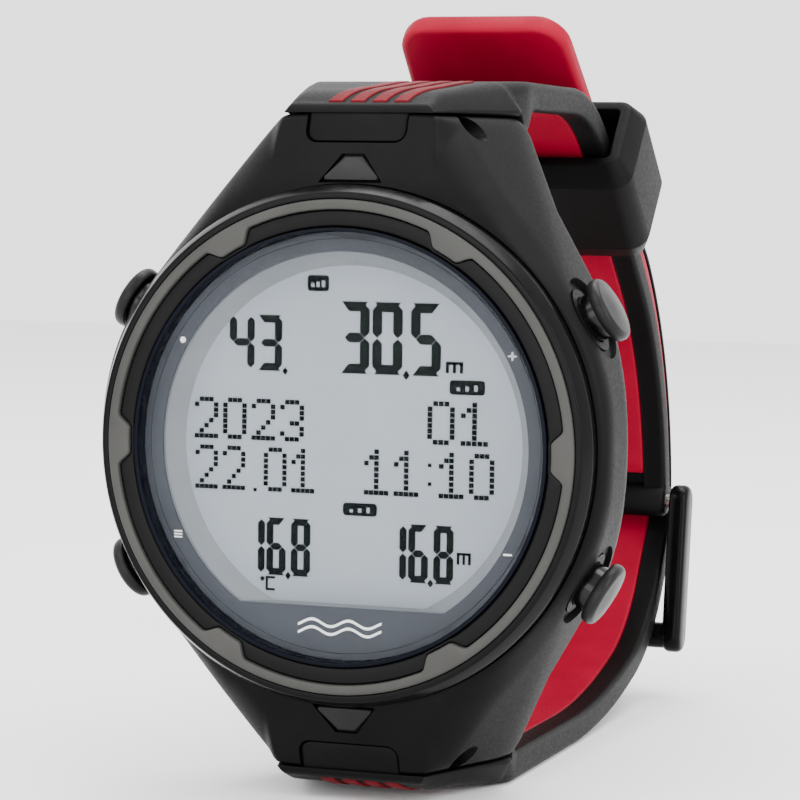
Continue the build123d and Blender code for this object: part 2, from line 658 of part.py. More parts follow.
def buckle_frame():
    """Two arms from the bar to a round crossbar."""
    ends = (Pos(*BAR) * Circle(ARM_RADIUS)).edges() + (Pos(*CROSSBAR) * Circle(ARM_RADIUS)).edges()
    arm = make_hull(ends)
    solid = side_slab(arm, ARM_INNER, ARM_OUTER) + side_slab(arm, -ARM_OUTER, -ARM_INNER)
    solid += slab(Pos(*CROSSBAR) * Circle(CROSSBAR_RADIUS), ARM_OUTER - 0.5)
    return solid - slab(Pos(*BAR) * Circle(BAR_RADIUS + 0.02), BAR_HALF)


def buckle_bar():
    return slab(Pos(*BAR) * Circle(BAR_RADIUS), BAR_HALF)


def buckle_prong():
    solid = slab(Pos(*BAR) * Circle(PRONG_EYE), 1.6)
    solid += slab(prong_outline(), PRONG_HALF_WIDTH)
    return solid - slab(Pos(*BAR) * Circle(BAR_RADIUS + 0.06), 5)


# ================================================================ write every node
def on_buttons(solid):
    return [radial(angle).location * solid for angle in BUTTON_ANGLES]


def lug_pins():
    return [pin_along_x(PIN_RADIUS, -PIN_HALF + 0.1, PIN_HALF - 0.1, PIN_Y, sign * PIN_Z) for sign in (1, -1)]


def lug_screws():
    found = []
    for sign in (1, -1):
        for side in (1, -1):
            near, far = sorted((side * PIN_HALF, side * (PIN_HALF + 1.0)))
            found.append(pin_along_x(SCREW_HEAD, near, far, PIN_Y, sign * PIN_Z))
    return found


nodes = {
    "case_shell": case_shell(),
    "bezel_ring": bezel_ring(),
    "bezel_insert": bezel_insert(),
    "outer_ring": outer_ring(),
    "crystal_rim": crystal_rim(),
    "crystal": plate(Circle(CRYSTAL_RADIUS), CRYSTAL_BACK, CRYSTAL_FRONT),
    "crystal_gasket": ring(CRYSTAL_RADIUS, MASK_RADIUS + 0.05, BEZEL_BASE + 0.02, CRYSTAL_BACK),
    "dial_mask": plate(Circle(MASK_RADIUS) - window(), BEZEL_BASE, MASK_FRONT),
    "display_wall": display_wall(),
    "display_panel": plate(Circle(DISPLAY_RADIUS) & Pos(0, 9) * Rectangle(40, 50), DISPLAY_BACK, DISPLAY_FRONT),
    "backlight_panel": plate(Circle(DISPLAY_RADIUS - 0.4) & Rectangle(40, 27), DISPLAY_BACK + 0.6, DISPLAY_BACK),
    "connector_strips": [plate(Pos(0, z) * Rectangle(10, 1.2), BOARD_FRONT, DISPLAY_BACK) for z in (-14.3, 14.3)],
    "main_board": plate(Circle(BOARD_RADIUS), BOARD_BACK, BOARD_FRONT),
    "chips": chips(),
    "button_switches": switches(),
    "buzzer": plate(Pos(-7.6, 8.6) * Circle(3.0), BOARD_BACK + 1.3, BOARD_BACK),
    "pressure_sensor": plate(Pos(0, SENSOR_Z) * Circle(SENSOR_RADIUS), PLATE_FRONT - 0.05, BOARD_BACK),
    "sensor_grille": sensor_grille(),
    "module_frame": module_frame(),
    "coin_cell": plate(Circle(CELL_RADIUS), TRAY_BACK + CELL_THICKNESS, TRAY_BACK),
    "cell_spring": cell_spring(),
    "case_back": case_back(),
    "case_back_seal": torus_about_case_axis(19.75, 0.5, -2.62),
    "case_back_screws": case_back_screws(),
    "battery_hatch": battery_hatch(),
    "hatch_seal": torus_about_case_axis(11.28, 0.34, -1.17),
    "marker_12": marker(1),
    "marker_6": marker(-1),
    "button_bushes": on_buttons(button_bush()),
    "button_seals": on_buttons(Pos(0, 0, 20.57) * Torus(1.46, 0.34)),
    "strap_short": strap_short(),
    "strap_short_lining": strap_short_lining(),
    "strap_long": strap_long(),
    "strap_long_lining": strap_long_lining(),
    "emblem_12": emblem(STRAP_TOP, ROOT_DEPTH, SHORT_LAYER),
    "emblem_6": [mirrored(bar) for bar in emblem(-STRAP_BOTTOM, FLAT_START, LAYER)],
    "lug_pins": lug_pins(),
    "lug_screws": lug_screws(),
    "keeper": keeper(),
    "buckle_frame": buckle_frame(),
    "buckle_bar": buckle_bar(),
    "buckle_prong": buckle_prong(),
}
clip = tube(2.0, 0.8, BUSH_INNER - 0.55, BUSH_INNER - 0.15)
for number, angle in enumerate(BUTTON_ANGLES, start=1):
    place = radial(angle).location
    nodes[f"button_cap_{number}"] = place * button_cap()
    nodes[f"button_stem_{number}"] = place * button_stem()
    nodes[f"button_clip_{number}"] = place * clip
    nodes[f"button_spring_{number}"] = place * button_spring()

os.makedirs("parts", exist_ok=True)
for name, solid in nodes.items():
    if isinstance(solid, list):
        solid = Compound(children=[piece for entry in solid for piece in entry.solids()])
    export_step(solid, f"parts/{name}.step")
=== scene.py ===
import bmesh
import bpy
import numpy as np
from math import acos, atan2, copysign, cos, degrees, pi, radians, sin, sqrt, tan
from mathutils import Matrix, Vector


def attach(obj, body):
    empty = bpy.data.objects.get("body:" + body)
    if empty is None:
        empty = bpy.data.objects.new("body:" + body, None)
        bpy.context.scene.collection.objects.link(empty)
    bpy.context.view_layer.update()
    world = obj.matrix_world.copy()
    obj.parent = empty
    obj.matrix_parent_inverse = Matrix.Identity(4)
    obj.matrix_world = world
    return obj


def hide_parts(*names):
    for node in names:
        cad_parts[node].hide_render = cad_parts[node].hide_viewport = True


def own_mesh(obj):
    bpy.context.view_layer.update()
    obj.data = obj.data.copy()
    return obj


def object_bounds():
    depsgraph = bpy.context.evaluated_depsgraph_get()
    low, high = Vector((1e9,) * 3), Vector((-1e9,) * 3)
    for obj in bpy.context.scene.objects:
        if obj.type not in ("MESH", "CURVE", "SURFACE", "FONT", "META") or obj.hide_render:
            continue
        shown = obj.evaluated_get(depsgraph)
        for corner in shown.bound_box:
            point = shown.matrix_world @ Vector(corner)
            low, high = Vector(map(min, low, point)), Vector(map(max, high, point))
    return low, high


# Looks of a wrist dive computer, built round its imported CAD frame.
# Shapes are worked out in millimetres and turned into metres when a mesh is made.

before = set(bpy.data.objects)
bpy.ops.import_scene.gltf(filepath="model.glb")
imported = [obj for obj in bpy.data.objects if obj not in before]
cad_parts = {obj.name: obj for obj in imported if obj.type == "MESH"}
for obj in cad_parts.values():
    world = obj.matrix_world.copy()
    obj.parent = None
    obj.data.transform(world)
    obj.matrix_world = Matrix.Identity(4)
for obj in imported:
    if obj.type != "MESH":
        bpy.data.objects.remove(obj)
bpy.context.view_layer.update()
MM = 0.001
CASE = "case"

# -------- driving sizes, as in the CAD
CASE_RADIUS = 26.0
BORE = 18.85
NECK_RADIUS = 23.15
NECK_FRONT = -13.65
RING_SEAT = -11.7
SHELL_FRONT = -13.0
SHELL_BACK = -1.4
MODULE_SEAT = -2.1
BACK_LEDGE = 21.1
LUG_SLOPE_START = 24.0                 # the front slopes back from this height above the centre
LUG_SLOPE = 0.329
LUG_CORNER_X = 11.3
LUG_CORNER_Z = 29.7
LUG_CORNER = 1.6
SHOULDER = (0.730, 0.290, 0.620)     # the flat cut of a shoulder, as its outward direction and distance
SHOULDER_REACH = 28.07
BUTTON_ANGLES = (29.0, 151.0, 209.0, 331.0)
BUTTON_Y = -7.75
STRAP_TOP = 35.0
STRAP_BOTTOM = -34.5
SHORT_LAYER = 2.8
LAYER = 3.0
LAYER_GAP = 0.3
LINING = 1.3
LINING_HALF = 9.0
TAIL_BLACK = 0.6
STRAP_HALF = 11.5
ROOT_HALF = 12.6
TAIL_HALF = 10.8
TAIL_TIP_HALF = 9.2
TAIL_RUN = 38.0
TAIL_CORNER = 3.4
SHORT_ROOT = 9.0
LONG_ROOT = 6.0
LONG_LOWER = [(None, 21.0), (85.0, 17.0), (22.0, 37.0), (None, 7.0), (10.0, 40.0)]     # radius and amount
BACK_RADIUS = 42.0
BACK_TURN = 44.3
CREST_RADIUS = 20.0
STRAP_EYE = 1.9
BAR_LIFT = 2.5
CROSSBAR_INSET = 2.2
CROSSBAR_FALL = 15.6
HOLE_PITCH = 7.4
HOLE_WIDTH = 2.6
HOLE_LENGTH = 4.2
USED_HOLE_LENGTH = 9.0                 # rubber stretched round the prong
USED_HOLE = 4.2
KEEPER_START = 7.4
KEEPER_WALL = 2.3
KEEPER_LENGTH = 15.0
KEEPER_PLAY = 0.5
ROOT_FRONT = -9.6
CROWN_JOIN = -3.0                      # depth where a strap root's two curves meet
ROOT_NOSE = -10.6
NOSE_HEIGHT = 31.45
FRONT_HEIGHT = 32.4
EMBLEM_BACK = 1.0
EMBLEM_PITCH = 2.2
EMBLEM_BAR = 1.4
EMBLEM_SLANT = 3.0
SCREW_Y = -6.8
SCREW_Z = 30.0
BEZEL_OUTER = 23.25
BEZEL_INNER = 22.3
BEZEL_TAB_REACH = 21.05
BEZEL_FRONT = -16.0
BEZEL_BASE = -13.7
INSERT_INNER = 20.66
INSERT_FRONT = -15.6
INSERT_BACK = -14.6
RIM_OUTER = 20.6
RIM_INNER = 20.24
OUTER_RING = 24.6
CAP_ROUND = 0.6
CAP_RADIUS = 3.15
CAP_BASE = 27.5
NECK_LIMIT = 26.78                     # a cap's faces nearer the axis than this belong to its neck
SPRING_START = 22.0
SPRING_LENGTH = 2.2
SPRING_RADIUS = 1.65
SPRING_WIRE = 0.18
SPRING_TURNS = 3
DISPLAY_FRONT = -11.5
INK_HEIGHT = 0.08
MASK_FRONT = -13.98


# ======== mesh helpers
def tidy(obj, sharp):
    """Outward normals, smooth shading and sharp edges past an angle."""
    work = bmesh.new()
    work.from_mesh(obj.data)
    bmesh.ops.remove_doubles(work, verts=work.verts, dist=1e-7)
    bmesh.ops.recalc_face_normals(work, faces=work.faces)
    work.to_mesh(obj.data)
    work.free()
    obj.data.shade_smooth()
    obj.data.set_sharp_from_angle(angle=radians(sharp))


def make(name, points, faces, sharp=35):
    """A mesh object from points in millimetres."""
    mesh = bpy.data.meshes.new(name)
    mesh.from_pydata([tuple(p) for p in np.asarray(points, float) * MM], [], faces)
    obj = bpy.data.objects.new(name, mesh)
    bpy.context.scene.collection.objects.link(obj)
    tidy(obj, sharp)
    return obj


def skin(name, rings, wrap=False, sharp=35):
    """A closed surface through equal closed rings of points; the ends are capped unless it wraps."""
    rings = np.asarray(rings, float)
    count, size = rings.shape[:2]
    faces = []
    for i in range(count if wrap else count - 1):
        j = (i + 1) % count
        for k in range(size):
            m = (k + 1) % size
            faces.append((i * size + k, i * size + m, j * size + m, j * size + k))
    if not wrap:
        faces.append(tuple(range(size)))
        faces.append(tuple((count - 1) * size + k for k in reversed(range(size))))
    return make(name, rings.reshape(-1, 3), faces, sharp)


def soften(points, radii, steps=5):
    """A closed outline with its corners rounded by circular arcs."""
    points = [np.array(p, float) for p in points]
    count = len(points)
    if np.isscalar(radii):
        radii = [radii] * count
    found = []
    for i, corner in enumerate(points):
        before = points[i - 1] - corner
        after = points[(i + 1) % count] - corner
        a_len, b_len = np.linalg.norm(before), np.linalg.norm(after)
        before, after = before / a_len, after / b_len
        half = acos(max(-1.0, min(1.0, float(before @ after)))) / 2
        reach = min(radii[i] / max(tan(half), 1e-6), 0.49 * a_len, 0.49 * b_len)
        weight = sin(half)
        start, end = corner + before * reach, corner + after * reach
        for t in np.linspace(0, 1, steps + 1):
            blend = np.array([(1 - t) ** 2, 2 * weight * t * (1 - t), t * t])
            found.append((blend[0] * start + blend[1] * corner + blend[2] * end) / blend.sum())
    return np.array(found)


def lathe(name, profile, radii=0.1, segments=256, steps=4, sharp=30):
    """A ring turned about the case axis from a closed profile of (radius, depth)."""
    profile = soften(profile, radii, steps)
    rings = []
    for angle in around(segments):
        rings.append(turned(profile, angle))
    return skin(name, rings, wrap=True, sharp=sharp)


def around(count):
    """Equal angles over one turn."""
    return np.linspace(0, 2 * pi, count, endpoint=False)


def circle(radius, count, centre=(0.0, 0.0)):
    """Points of a circle in a plane."""
    return [(centre[0] + radius * cos(a), centre[1] + radius * sin(a)) for a in around(count)]


def rectangle(left, first, right, second):
    """The four corners between two values across and two along."""
    return [(left, first), (right, first), (right, second), (left, second)]


def turned(profile, angle):
    """A (radius, depth) profile put in one direction from the case axis."""
    return [(r * cos(angle), y, r * sin(angle)) for r, y in profile]


def through_x(outline, *places):
    """A cutter along X with one (y, z) outline."""
    return skin("cutter", [[(x, y, z) for y, z in outline] for x in places])


def prism(name, outline, back, front, sharp=35):
    """A flat outline in X and Z made solid between two depths."""
    outline = [(x, z) for x, z in outline]
    size = len(outline)
    points = [(x, back, z) for x, z in outline] + [(x, front, z) for x, z in outline]
    faces = [tuple(range(size)), tuple(reversed(range(size, 2 * size)))]
    faces += [(k, (k + 1) % size, size + (k + 1) % size, size + k) for k in range(size)]
    return make(name, points, faces, sharp)


def bake(obj, sharp=35):
    """Applies an object's modifiers to its own mesh."""
    graph = bpy.context.evaluated_depsgraph_get()
    graph.update()
    mesh = bpy.data.meshes.new_from_object(obj.evaluated_get(graph))
    obj.modifiers.clear()
    obj.data = mesh
    obj.data.shade_smooth()
    obj.data.set_sharp_from_angle(angle=radians(sharp))


def unite(obj, other):
    """Adds one solid to another and removes it."""
    step = obj.modifiers.new("add", "BOOLEAN")
    step.operation = "UNION"
    step.solver = "EXACT"
    step.object = other
    bake(obj)
    bpy.data.objects.remove(other)


def carve(obj, cutters, sharp=35):
    """Cuts every cutter out of obj and removes the cutters."""
    for cutter in cutters:
        step = obj.modifiers.new("cut", "BOOLEAN")
        step.operation = "DIFFERENCE"
        step.solver = "EXACT"
        step.object = cutter
    bake(obj, sharp)
    for cutter in cutters:
        bpy.data.objects.remove(cutter)


def join(name, objects):
    """One object from several, keeping each one's mesh."""
    work = bmesh.new()
    for obj in objects:
        work.from_mesh(obj.data)
        bpy.data.objects.remove(obj)
    mesh = bpy.data.meshes.new(name)
    work.to_mesh(mesh)
    work.free()
    joined = bpy.data.objects.new(name, mesh)
    bpy.context.scene.collection.objects.link(joined)
    mesh.shade_smooth()
    mesh.set_sharp_from_angle(angle=radians(50))
    return joined


def smooth(value):
    """An even rise from 0 to 1."""
    value = np.clip(value, 0.0, 1.0)
    return value * value * (3 - 2 * value)


def mixed(a, b, t):
    return a + (b - a) * t


def smooth_ramp(t):
    """Zero, then a straight rise with soft ends to one."""
    t = max(0.0, min(1.0, t))
    return mixed(t, float(smooth(t)), 0.35)


def soft_under(value, limit, softness):
    """A value kept under a limit, with a soft bend where it reaches it."""
    gap = value - limit
    return value - 0.5 * (gap + sqrt(gap * gap + softness))


# ======== materials
def node_of(tree, kind, **inputs):
    """A new node with some of its sockets set."""
    node = tree.nodes.new(kind)
    for name, value in inputs.items():
        node.inputs[name.replace("_", " ")].default_value = value
    return node


def noise(tree, coords, scale, detail=3.0, roughness=0.55, stretch=(1, 1, 1)):
    spread = tree.nodes.new("ShaderNodeMapping")
    spread.inputs["Scale"].default_value = stretch
    tree.links.new(coords, spread.inputs["Vector"])
    found = node_of(tree, "ShaderNodeTexNoise", Scale=scale, Detail=detail, Roughness=roughness)
    tree.links.new(spread.outputs["Vector"], found.inputs["Vector"])
    return found.outputs["Fac"]


def ramp(tree, source, low, high, low_at=0.35, high_at=0.65):
    found = tree.nodes.new("ShaderNodeValToRGB")
    found.color_ramp.elements[0].position = low_at
    found.color_ramp.elements[1].position = high_at
    found.color_ramp.elements[0].color = (*low, 1)
    found.color_ramp.elements[1].color = (*high, 1)
    tree.links.new(source, found.inputs["Fac"])
    return found.outputs["Color"]


def spread_value(tree, source, low, high):
    found = node_of(tree, "ShaderNodeMapRange", To_Min=low, To_Max=high, From_Min=0.3, From_Max=0.7)
    tree.links.new(source, found.inputs["Value"])
    return found.outputs["Result"]


def surface(name, dark, light, rough, grain, bump, patch=120.0, metallic=0.0, specular=0.5,
            stretch=(1, 1, 1), distance=0.02):
    """A procedural material: slow colour patches, fine grain in roughness and height."""
    mat = bpy.data.materials.new(name)
    mat.use_nodes = True
    tree = mat.node_tree
    shader = tree.nodes["Principled BSDF"]
    coords = tree.nodes.new("ShaderNodeTexCoord").outputs["Object"]
    slow = noise(tree, coords, patch, 4.0, 0.6)
    fine = noise(tree, coords, grain, 3.0, 0.6, stretch)
    tree.links.new(ramp(tree, slow, dark, light), shader.inputs["Base Color"])
    tree.links.new(spread_value(tree, fine, *rough), shader.inputs["Roughness"])
    shader.inputs["Metallic"].default_value = metallic
    shader.inputs["Specular IOR Level"].default_value = specular
    lift = node_of(tree, "ShaderNodeBump", Strength=bump, Distance=distance * MM)
    tree.links.new(fine, lift.inputs["Height"])
    tree.links.new(lift.outputs["Normal"], shader.inputs["Normal"])
    return mat


def grey(level):
    return (level, level, level * 1.03)


def glass_material():
    """Clear crystal that lets straight light through and keeps a faint reflection."""
    mat = bpy.data.materials.new("crystal_glass")
    mat.use_nodes = True
    tree = mat.node_tree
    shader = tree.nodes["Principled BSDF"]
    coords = tree.nodes.new("ShaderNodeTexCoord").outputs["Object"]
    smear = noise(tree, coords, 260.0, 4.0, 0.5)
    tree.links.new(spread_value(tree, smear, 0.02, 0.06), shader.inputs["Roughness"])
    shader.inputs["Base Color"].default_value = (0.02, 0.025, 0.03, 1)
    shader.inputs["Alpha"].default_value = 0.05
    shader.inputs["Specular IOR Level"].default_value = 0.2
    return mat


mats = {
    "shell": surface("shell_rubber", grey(0.0018), grey(0.0028), (0.42, 0.56), 3200.0, 0.14, specular=0.06,
                     distance=0.03),
    "bezel": surface("bezel_grey", (0.035, 0.0348, 0.0326), (0.042, 0.0416, 0.0392), (0.38, 0.50), 5200.0,
                     0.08, metallic=0.2, specular=0.13),
    "insert": surface("insert_black", grey(0.0016), grey(0.0024), (0.28, 0.40), 4200.0, 0.08, specular=0.08),
    "gloss": surface("gloss_black", grey(0.0014), grey(0.0022), (0.16, 0.26), 900.0, 0.02, specular=0.07),
    "rim": surface("rim_black", (0.0016, 0.0020, 0.0042), (0.0024, 0.0030, 0.0058), (0.20, 0.30), 900.0, 0.02,
                   specular=0.04),
    "mask": surface("mask_slate", (0.036, 0.040, 0.048), (0.043, 0.048, 0.058), (0.40, 0.54), 5200.0, 0.05,
                    specular=0.12),
    "wall": surface("wall_grey", (0.15, 0.165, 0.18), (0.175, 0.19, 0.205), (0.40, 0.55), 3500.0, 0.05,
                    specular=0.2),
    "display": surface("display_grey", (0.235, 0.262, 0.292), (0.250, 0.278, 0.308), (0.34, 0.46), 1500.0,
                       0.02, patch=60.0, specular=0.15),
    "ink": surface("display_ink", (0.0020, 0.0036, 0.0030), (0.0034, 0.0052, 0.0044), (0.60, 0.75), 4000.0,
                   0.004, specular=0.02),
    "print": surface("white_print", (0.72, 0.73, 0.74), (0.80, 0.81, 0.82), (0.45, 0.60), 6000.0, 0.05),
    "strap": surface("strap_black", grey(0.0018), grey(0.0028), (0.40, 0.56), 3600.0, 0.16, specular=0.065,
                     distance=0.03),
    "red": surface("strap_red", (0.200, 0.0008, 0.0130), (0.235, 0.0012, 0.0165), (0.38, 0.54), 3600.0, 0.14,
                   specular=0.06),
    "emblem": surface("emblem_red", (0.080, 0.0015, 0.004), (0.120, 0.003, 0.007), (0.40, 0.56), 2600.0, 0.12,
                      specular=0.06),
    "cap": surface("cap_grey", (0.006, 0.006, 0.006), (0.009, 0.009, 0.009), (0.32, 0.44), 2800.0, 0.08,
                   metallic=0.25, specular=0.15, stretch=(1, 6, 1)),
    "neck": surface("neck_black", grey(0.0014), grey(0.0022), (0.12, 0.20), 900.0, 0.02, specular=0.2),
    "marker": surface("marker_grey", grey(0.0060), grey(0.0080), (0.34, 0.48), 3000.0, 0.12, specular=0.16),
    "steel": surface("steel", (0.50, 0.50, 0.49), (0.60, 0.60, 0.59), (0.22, 0.38), 2600.0, 0.10,
                     metallic=1.0, stretch=(8, 1, 1)),
    "bush": surface("bush_dark", grey(0.0020), grey(0.0030), (0.4, 0.55), 2400.0, 0.06, specular=0.08),
    "seal": surface("seal_rubber", grey(0.004), grey(0.006), (0.5, 0.65), 2400.0, 0.15, specular=0.25),
    "board": surface("board_green", (0.01, 0.09, 0.035), (0.02, 0.13, 0.05), (0.30, 0.42), 2000.0, 0.1),
    "chip": surface("chip_black", grey(0.012), grey(0.018), (0.45, 0.6), 4000.0, 0.15),
    "frame": surface("frame_plastic", grey(0.22), grey(0.27), (0.45, 0.6), 3000.0, 0.15),
    "light": surface("light_plate", (0.75, 0.80, 0.80), (0.82, 0.86, 0.86), (0.3, 0.45), 1500.0, 0.05),
    "elastomer": surface("elastomer", (0.45, 0.22, 0.26), (0.55, 0.30, 0.33), (0.5, 0.65), 2500.0, 0.15,
                         stretch=(14, 1, 1)),
    "back": surface("back_plastic", grey(0.0050), grey(0.0075), (0.40, 0.55), 2600.0, 0.30, specular=0.3,
                    distance=0.03),
    "glass": glass_material(),
}


def dress(obj, material, slot, *nodes, body=CASE):
    """Material, a slot argument that is not used, CAD nodes that the piece stands for, and the body that it
    rides on.
    """
    obj.data.materials.clear()
    obj.data.materials.append(mats[material])
    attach(obj, body)
    if nodes:
        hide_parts(*nodes)
    return obj


# ======== strap paths
def trail(start, heading, steps, spacing=0.7):
    """Stations (y, z, heading in radians, distance) along a path of runs and left-hand bends."""
    y, z = start
    angle = radians(heading)
    stations = [(y, z, angle, 0.0)]
    travelled = 0.0
    for radius, amount in steps:
        turn = 0.0 if radius is None else radians(amount)
        length = amount if radius is None else radius * turn
        count = max(2, round(length / spacing))
        for i in range(1, count + 1):
            part = i / count
            if radius is None:
                place = (y + length * part * cos(angle), z + length * part * sin(angle), angle)
            else:
                now = angle + turn * part
                place = (y - radius * sin(angle) + radius * sin(now),
                         z + radius * cos(angle) - radius * cos(now), now)
            stations.append((*place, travelled + length * part))
        y, z, angle = stations[-1][:3]
        travelled += length
    return stations


long_lower = trail((LONG_ROOT, STRAP_BOTTOM), 0, LONG_LOWER)
TAIL_START = long_lower[-1][:2]
TAIL_HEADING = degrees(long_lower[-1][2])
tail_path = trail(TAIL_START, TAIL_HEADING, [(BACK_RADIUS, BACK_TURN), (None, TAIL_RUN)])
back_bend = trail(TAIL_START, TAIL_HEADING, [(BACK_RADIUS, BACK_TURN)])
STRAIGHT = back_bend[-1]
HEADING = degrees(STRAIGHT[2])
tail_turn = radians(TAIL_HEADING)
BACK_CENTRE = (TAIL_START[0] - BACK_RADIUS * sin(tail_turn),
               TAIL_START[1] + BACK_RADIUS * cos(tail_turn))
SHORT_RADIUS = BACK_RADIUS - LAYER - LAYER_GAP
lift = radians(BAR_LIFT)
BAR = (BACK_CENTRE[0] + (SHORT_RADIUS - STRAP_EYE) * cos(lift),
       BACK_CENTRE[1] + (SHORT_RADIUS - STRAP_EYE) * sin(lift))
CROSSBAR = (BAR[0] - CROSSBAR_INSET, BAR[1] - CROSSBAR_FALL)
SHORT_START = (BACK_CENTRE[0] + SHORT_RADIUS * cos(lift),
               BACK_CENTRE[1] + SHORT_RADIUS * sin(lift))
short_bend = HEADING - 90 - BAR_LIFT
bend_end = trail(SHORT_START, 90 + BAR_LIFT, [(SHORT_RADIUS, short_bend)])[-1]
crest_turn = 180 - HEADING
crest_rise = CREST_RADIUS * (1 - cos(radians(crest_turn)))
straight_run = (STRAP_TOP - crest_rise - bend_end[1]) / sin(radians(HEADING))
short_steps = [(SHORT_RADIUS, short_bend), (None, straight_run), (CREST_RADIUS, crest_turn)]
crest_end = trail(SHORT_START, 90 + BAR_LIFT, short_steps)[-1]
short_steps.append((None, crest_end[0] - SHORT_ROOT))
short_path = trail(SHORT_START, 90 + BAR_LIFT, short_steps)


def section(half, thick, r_out, r_in, recess_half, recess_depth, half_in=None):
    """A strap's cross-section as (across, inward) points, with a shallow channel in its inner face."""
    floor = thick - recess_depth
    low = half if half_in is None else half_in
    corners = [(-half, 0), (half, 0), (low, thick), (recess_half, thick), (recess_half, floor),
               (-recess_half, floor), (-recess_half, thick), (-low, thick)]
    small = min(0.12, recess_depth * 0.45)
    return soften(corners, [r_out, r_out, r_in, small, small, small, small, r_in], 5)


def placed(points, y, z, angle):
    """Cross-section points put at one station of a path."""
    return [(x, y - n * sin(angle), z + n * cos(angle)) for x, n in points]


def crown(depth, crest, root):
    """Height of a strap root's outer face at one depth."""
    def hermite(a, b, low, high, slope_low, slope_high):
        span = b - a
        t = (depth - a) / span
        return (low * (2 * t ** 3 - 3 * t * t + 1) + slope_low * span * (t ** 3 - 2 * t * t + t)
                + high * (3 * t * t - 2 * t ** 3) + slope_high * span * (t ** 3 - t * t))
    join, join_slope = crest - 0.9, 0.17
    if depth < CROWN_JOIN:
        return hermite(ROOT_FRONT, CROWN_JOIN, FRONT_HEIGHT, join, 0.62, join_slope)
    return hermite(CROWN_JOIN, root, join, crest, join_slope, 0.0)


def shoulder_half(depth, height):
    """Half width of a shoulder's slanting flank at a depth and height."""
    return (SHOULDER_REACH + SHOULDER[1] * depth - SHOULDER[2] * height) / SHOULDER[0]


def root_rings(crest, root, layer, sign, near_half):
    """Sections of a strap root, from its front nose to where the strap proper begins."""
    rings = []
    depths = [ROOT_NOSE, ROOT_NOSE + 0.15, ROOT_NOSE + 0.4, ROOT_NOSE + 0.7]
    depths += list(np.linspace(ROOT_FRONT, root - 0.6, 34))
    for depth in depths:
        top = crown(max(depth, ROOT_FRONT), crest, root)
        if depth < ROOT_FRONT:
            fall = sqrt(max(0.0, 1 - ((ROOT_FRONT - depth) / 1.02) ** 2))
            top = NOSE_HEIGHT + (top - NOSE_HEIGHT) * fall
        under = 31.4
        if depth > 2.8:
            under = mixed(29.9, crest - layer, smooth((depth - 4.2) / (root - 4.2)))
        spread = smooth((depth - 1.0) / (root - 1.0))
        upper = mixed(min(ROOT_HALF, shoulder_half(depth, top)), near_half, spread)
        lower = mixed(min(ROOT_HALF, shoulder_half(depth, under)), near_half, spread)
        thick = top - under
        edge = mixed(4.2, 0.75, smooth((depth + 3.0) / (root + 3.0)))
        shape = section(upper, thick, min(edge, thick * 0.85), min(0.4, thick * 0.12),
                        min(LINING_HALF, lower - 1.3), 0.02, lower)
        rings.append([(x, depth, sign * (top - n)) for x, n in shape])
    return rings


def tongue(sign):
    """The strap's tongue that fills the notch in the case."""
    outline = soften(rectangle(-5, 28.65, 5, 32.1), [1.1, 1.1, 0.2, 0.2], 5)
    rings = []
    for inset, back in ((0.35, 0.0), (0.1, 0.12), (0.0, 0.4), (0.0, 5.9)):
        ring = []
        for x, z in outline:
            x, z = x * (1 - inset / 5), 30.8 + (z - 30.8) * (1 - inset / 2.2)
            slope = SHELL_FRONT + 0.07 + LUG_SLOPE * max(0.0, z - LUG_SLOPE_START)
            ring.append((x, slope + back + 0.05 if back < 5 else -4.0, sign * z))
        rings.append(ring)
    return skin("tongue", rings)


def slot_cutter(station, length, width, reach=8.0):
    """A rounded slot along the strap, cut square through it."""
    y, z, angle = station[:3]
    outline = soften(rectangle(-width / 2, -length / 2, width / 2, length / 2), width * 0.499, 8)
    run, rise = cos(angle), sin(angle)
    return skin("cutter", [[(x, y + s * run - depth * rise, z + s * rise + depth * run)
                            for x, s in outline] for depth in (-reach, reach)])


def at_distance(stations, distance):
    """The station nearest to a distance along a path."""
    return min(stations, key=lambda s: abs(s[3] - distance))


# ======== the two straps
def short_strap():
    """The 12 o'clock strap, from its root to the eye that holds the buckle bar."""
    rings = []
    for y, z, angle, _ in short_path[:-1]:
        rings.append(placed(section(STRAP_HALF, SHORT_LAYER, 0.75, 0.55, LINING_HALF, LINING), y, z, angle))
    rings += reversed(root_rings(STRAP_TOP, SHORT_ROOT, SHORT_LAYER, 1, STRAP_HALF))
    body = skin("strap_body", rings)
    eye_ring = []
    for x, grow in ((-STRAP_HALF, -0.4), (-STRAP_HALF + 0.4, 0), (STRAP_HALF - 0.4, 0), (STRAP_HALF, -0.4)):
        eye_ring.append([(x, y, z) for y, z in circle(STRAP_EYE + grow, 40, BAR)])
    unite(body, skin("eye", eye_ring))
    notch = prism("cutter", rectangle(-2.0, BAR[1] - 3.6, 2.0, BAR[1] + 3.4), BAR[0] + 4, BAR[0] - 4)
    carve(body, [notch, through_x(circle(0.87, 32, BAR), -13, 13)], sharp=55)
    return dress(join("rubber_strap_short", [body, tongue(1)]), "strap", "strap_black", "strap_short")


def long_holes():
    """Distances along the lower run of the prong's hole and of the spare holes."""
    flat, shallow, tight = LONG_LOWER[0][1], LONG_LOWER[1], LONG_LOWER[2]
    bend_start = flat + radians(shallow[1]) * shallow[0]
    run_start = bend_start + radians(tight[1]) * tight[0]
    used = run_start + USED_HOLE
    spare = [used - HOLE_PITCH * k for k in (1, 2)]
    spare += [bend_start - 2.0 - HOLE_PITCH * k for k in range(3)]
    return used, spare


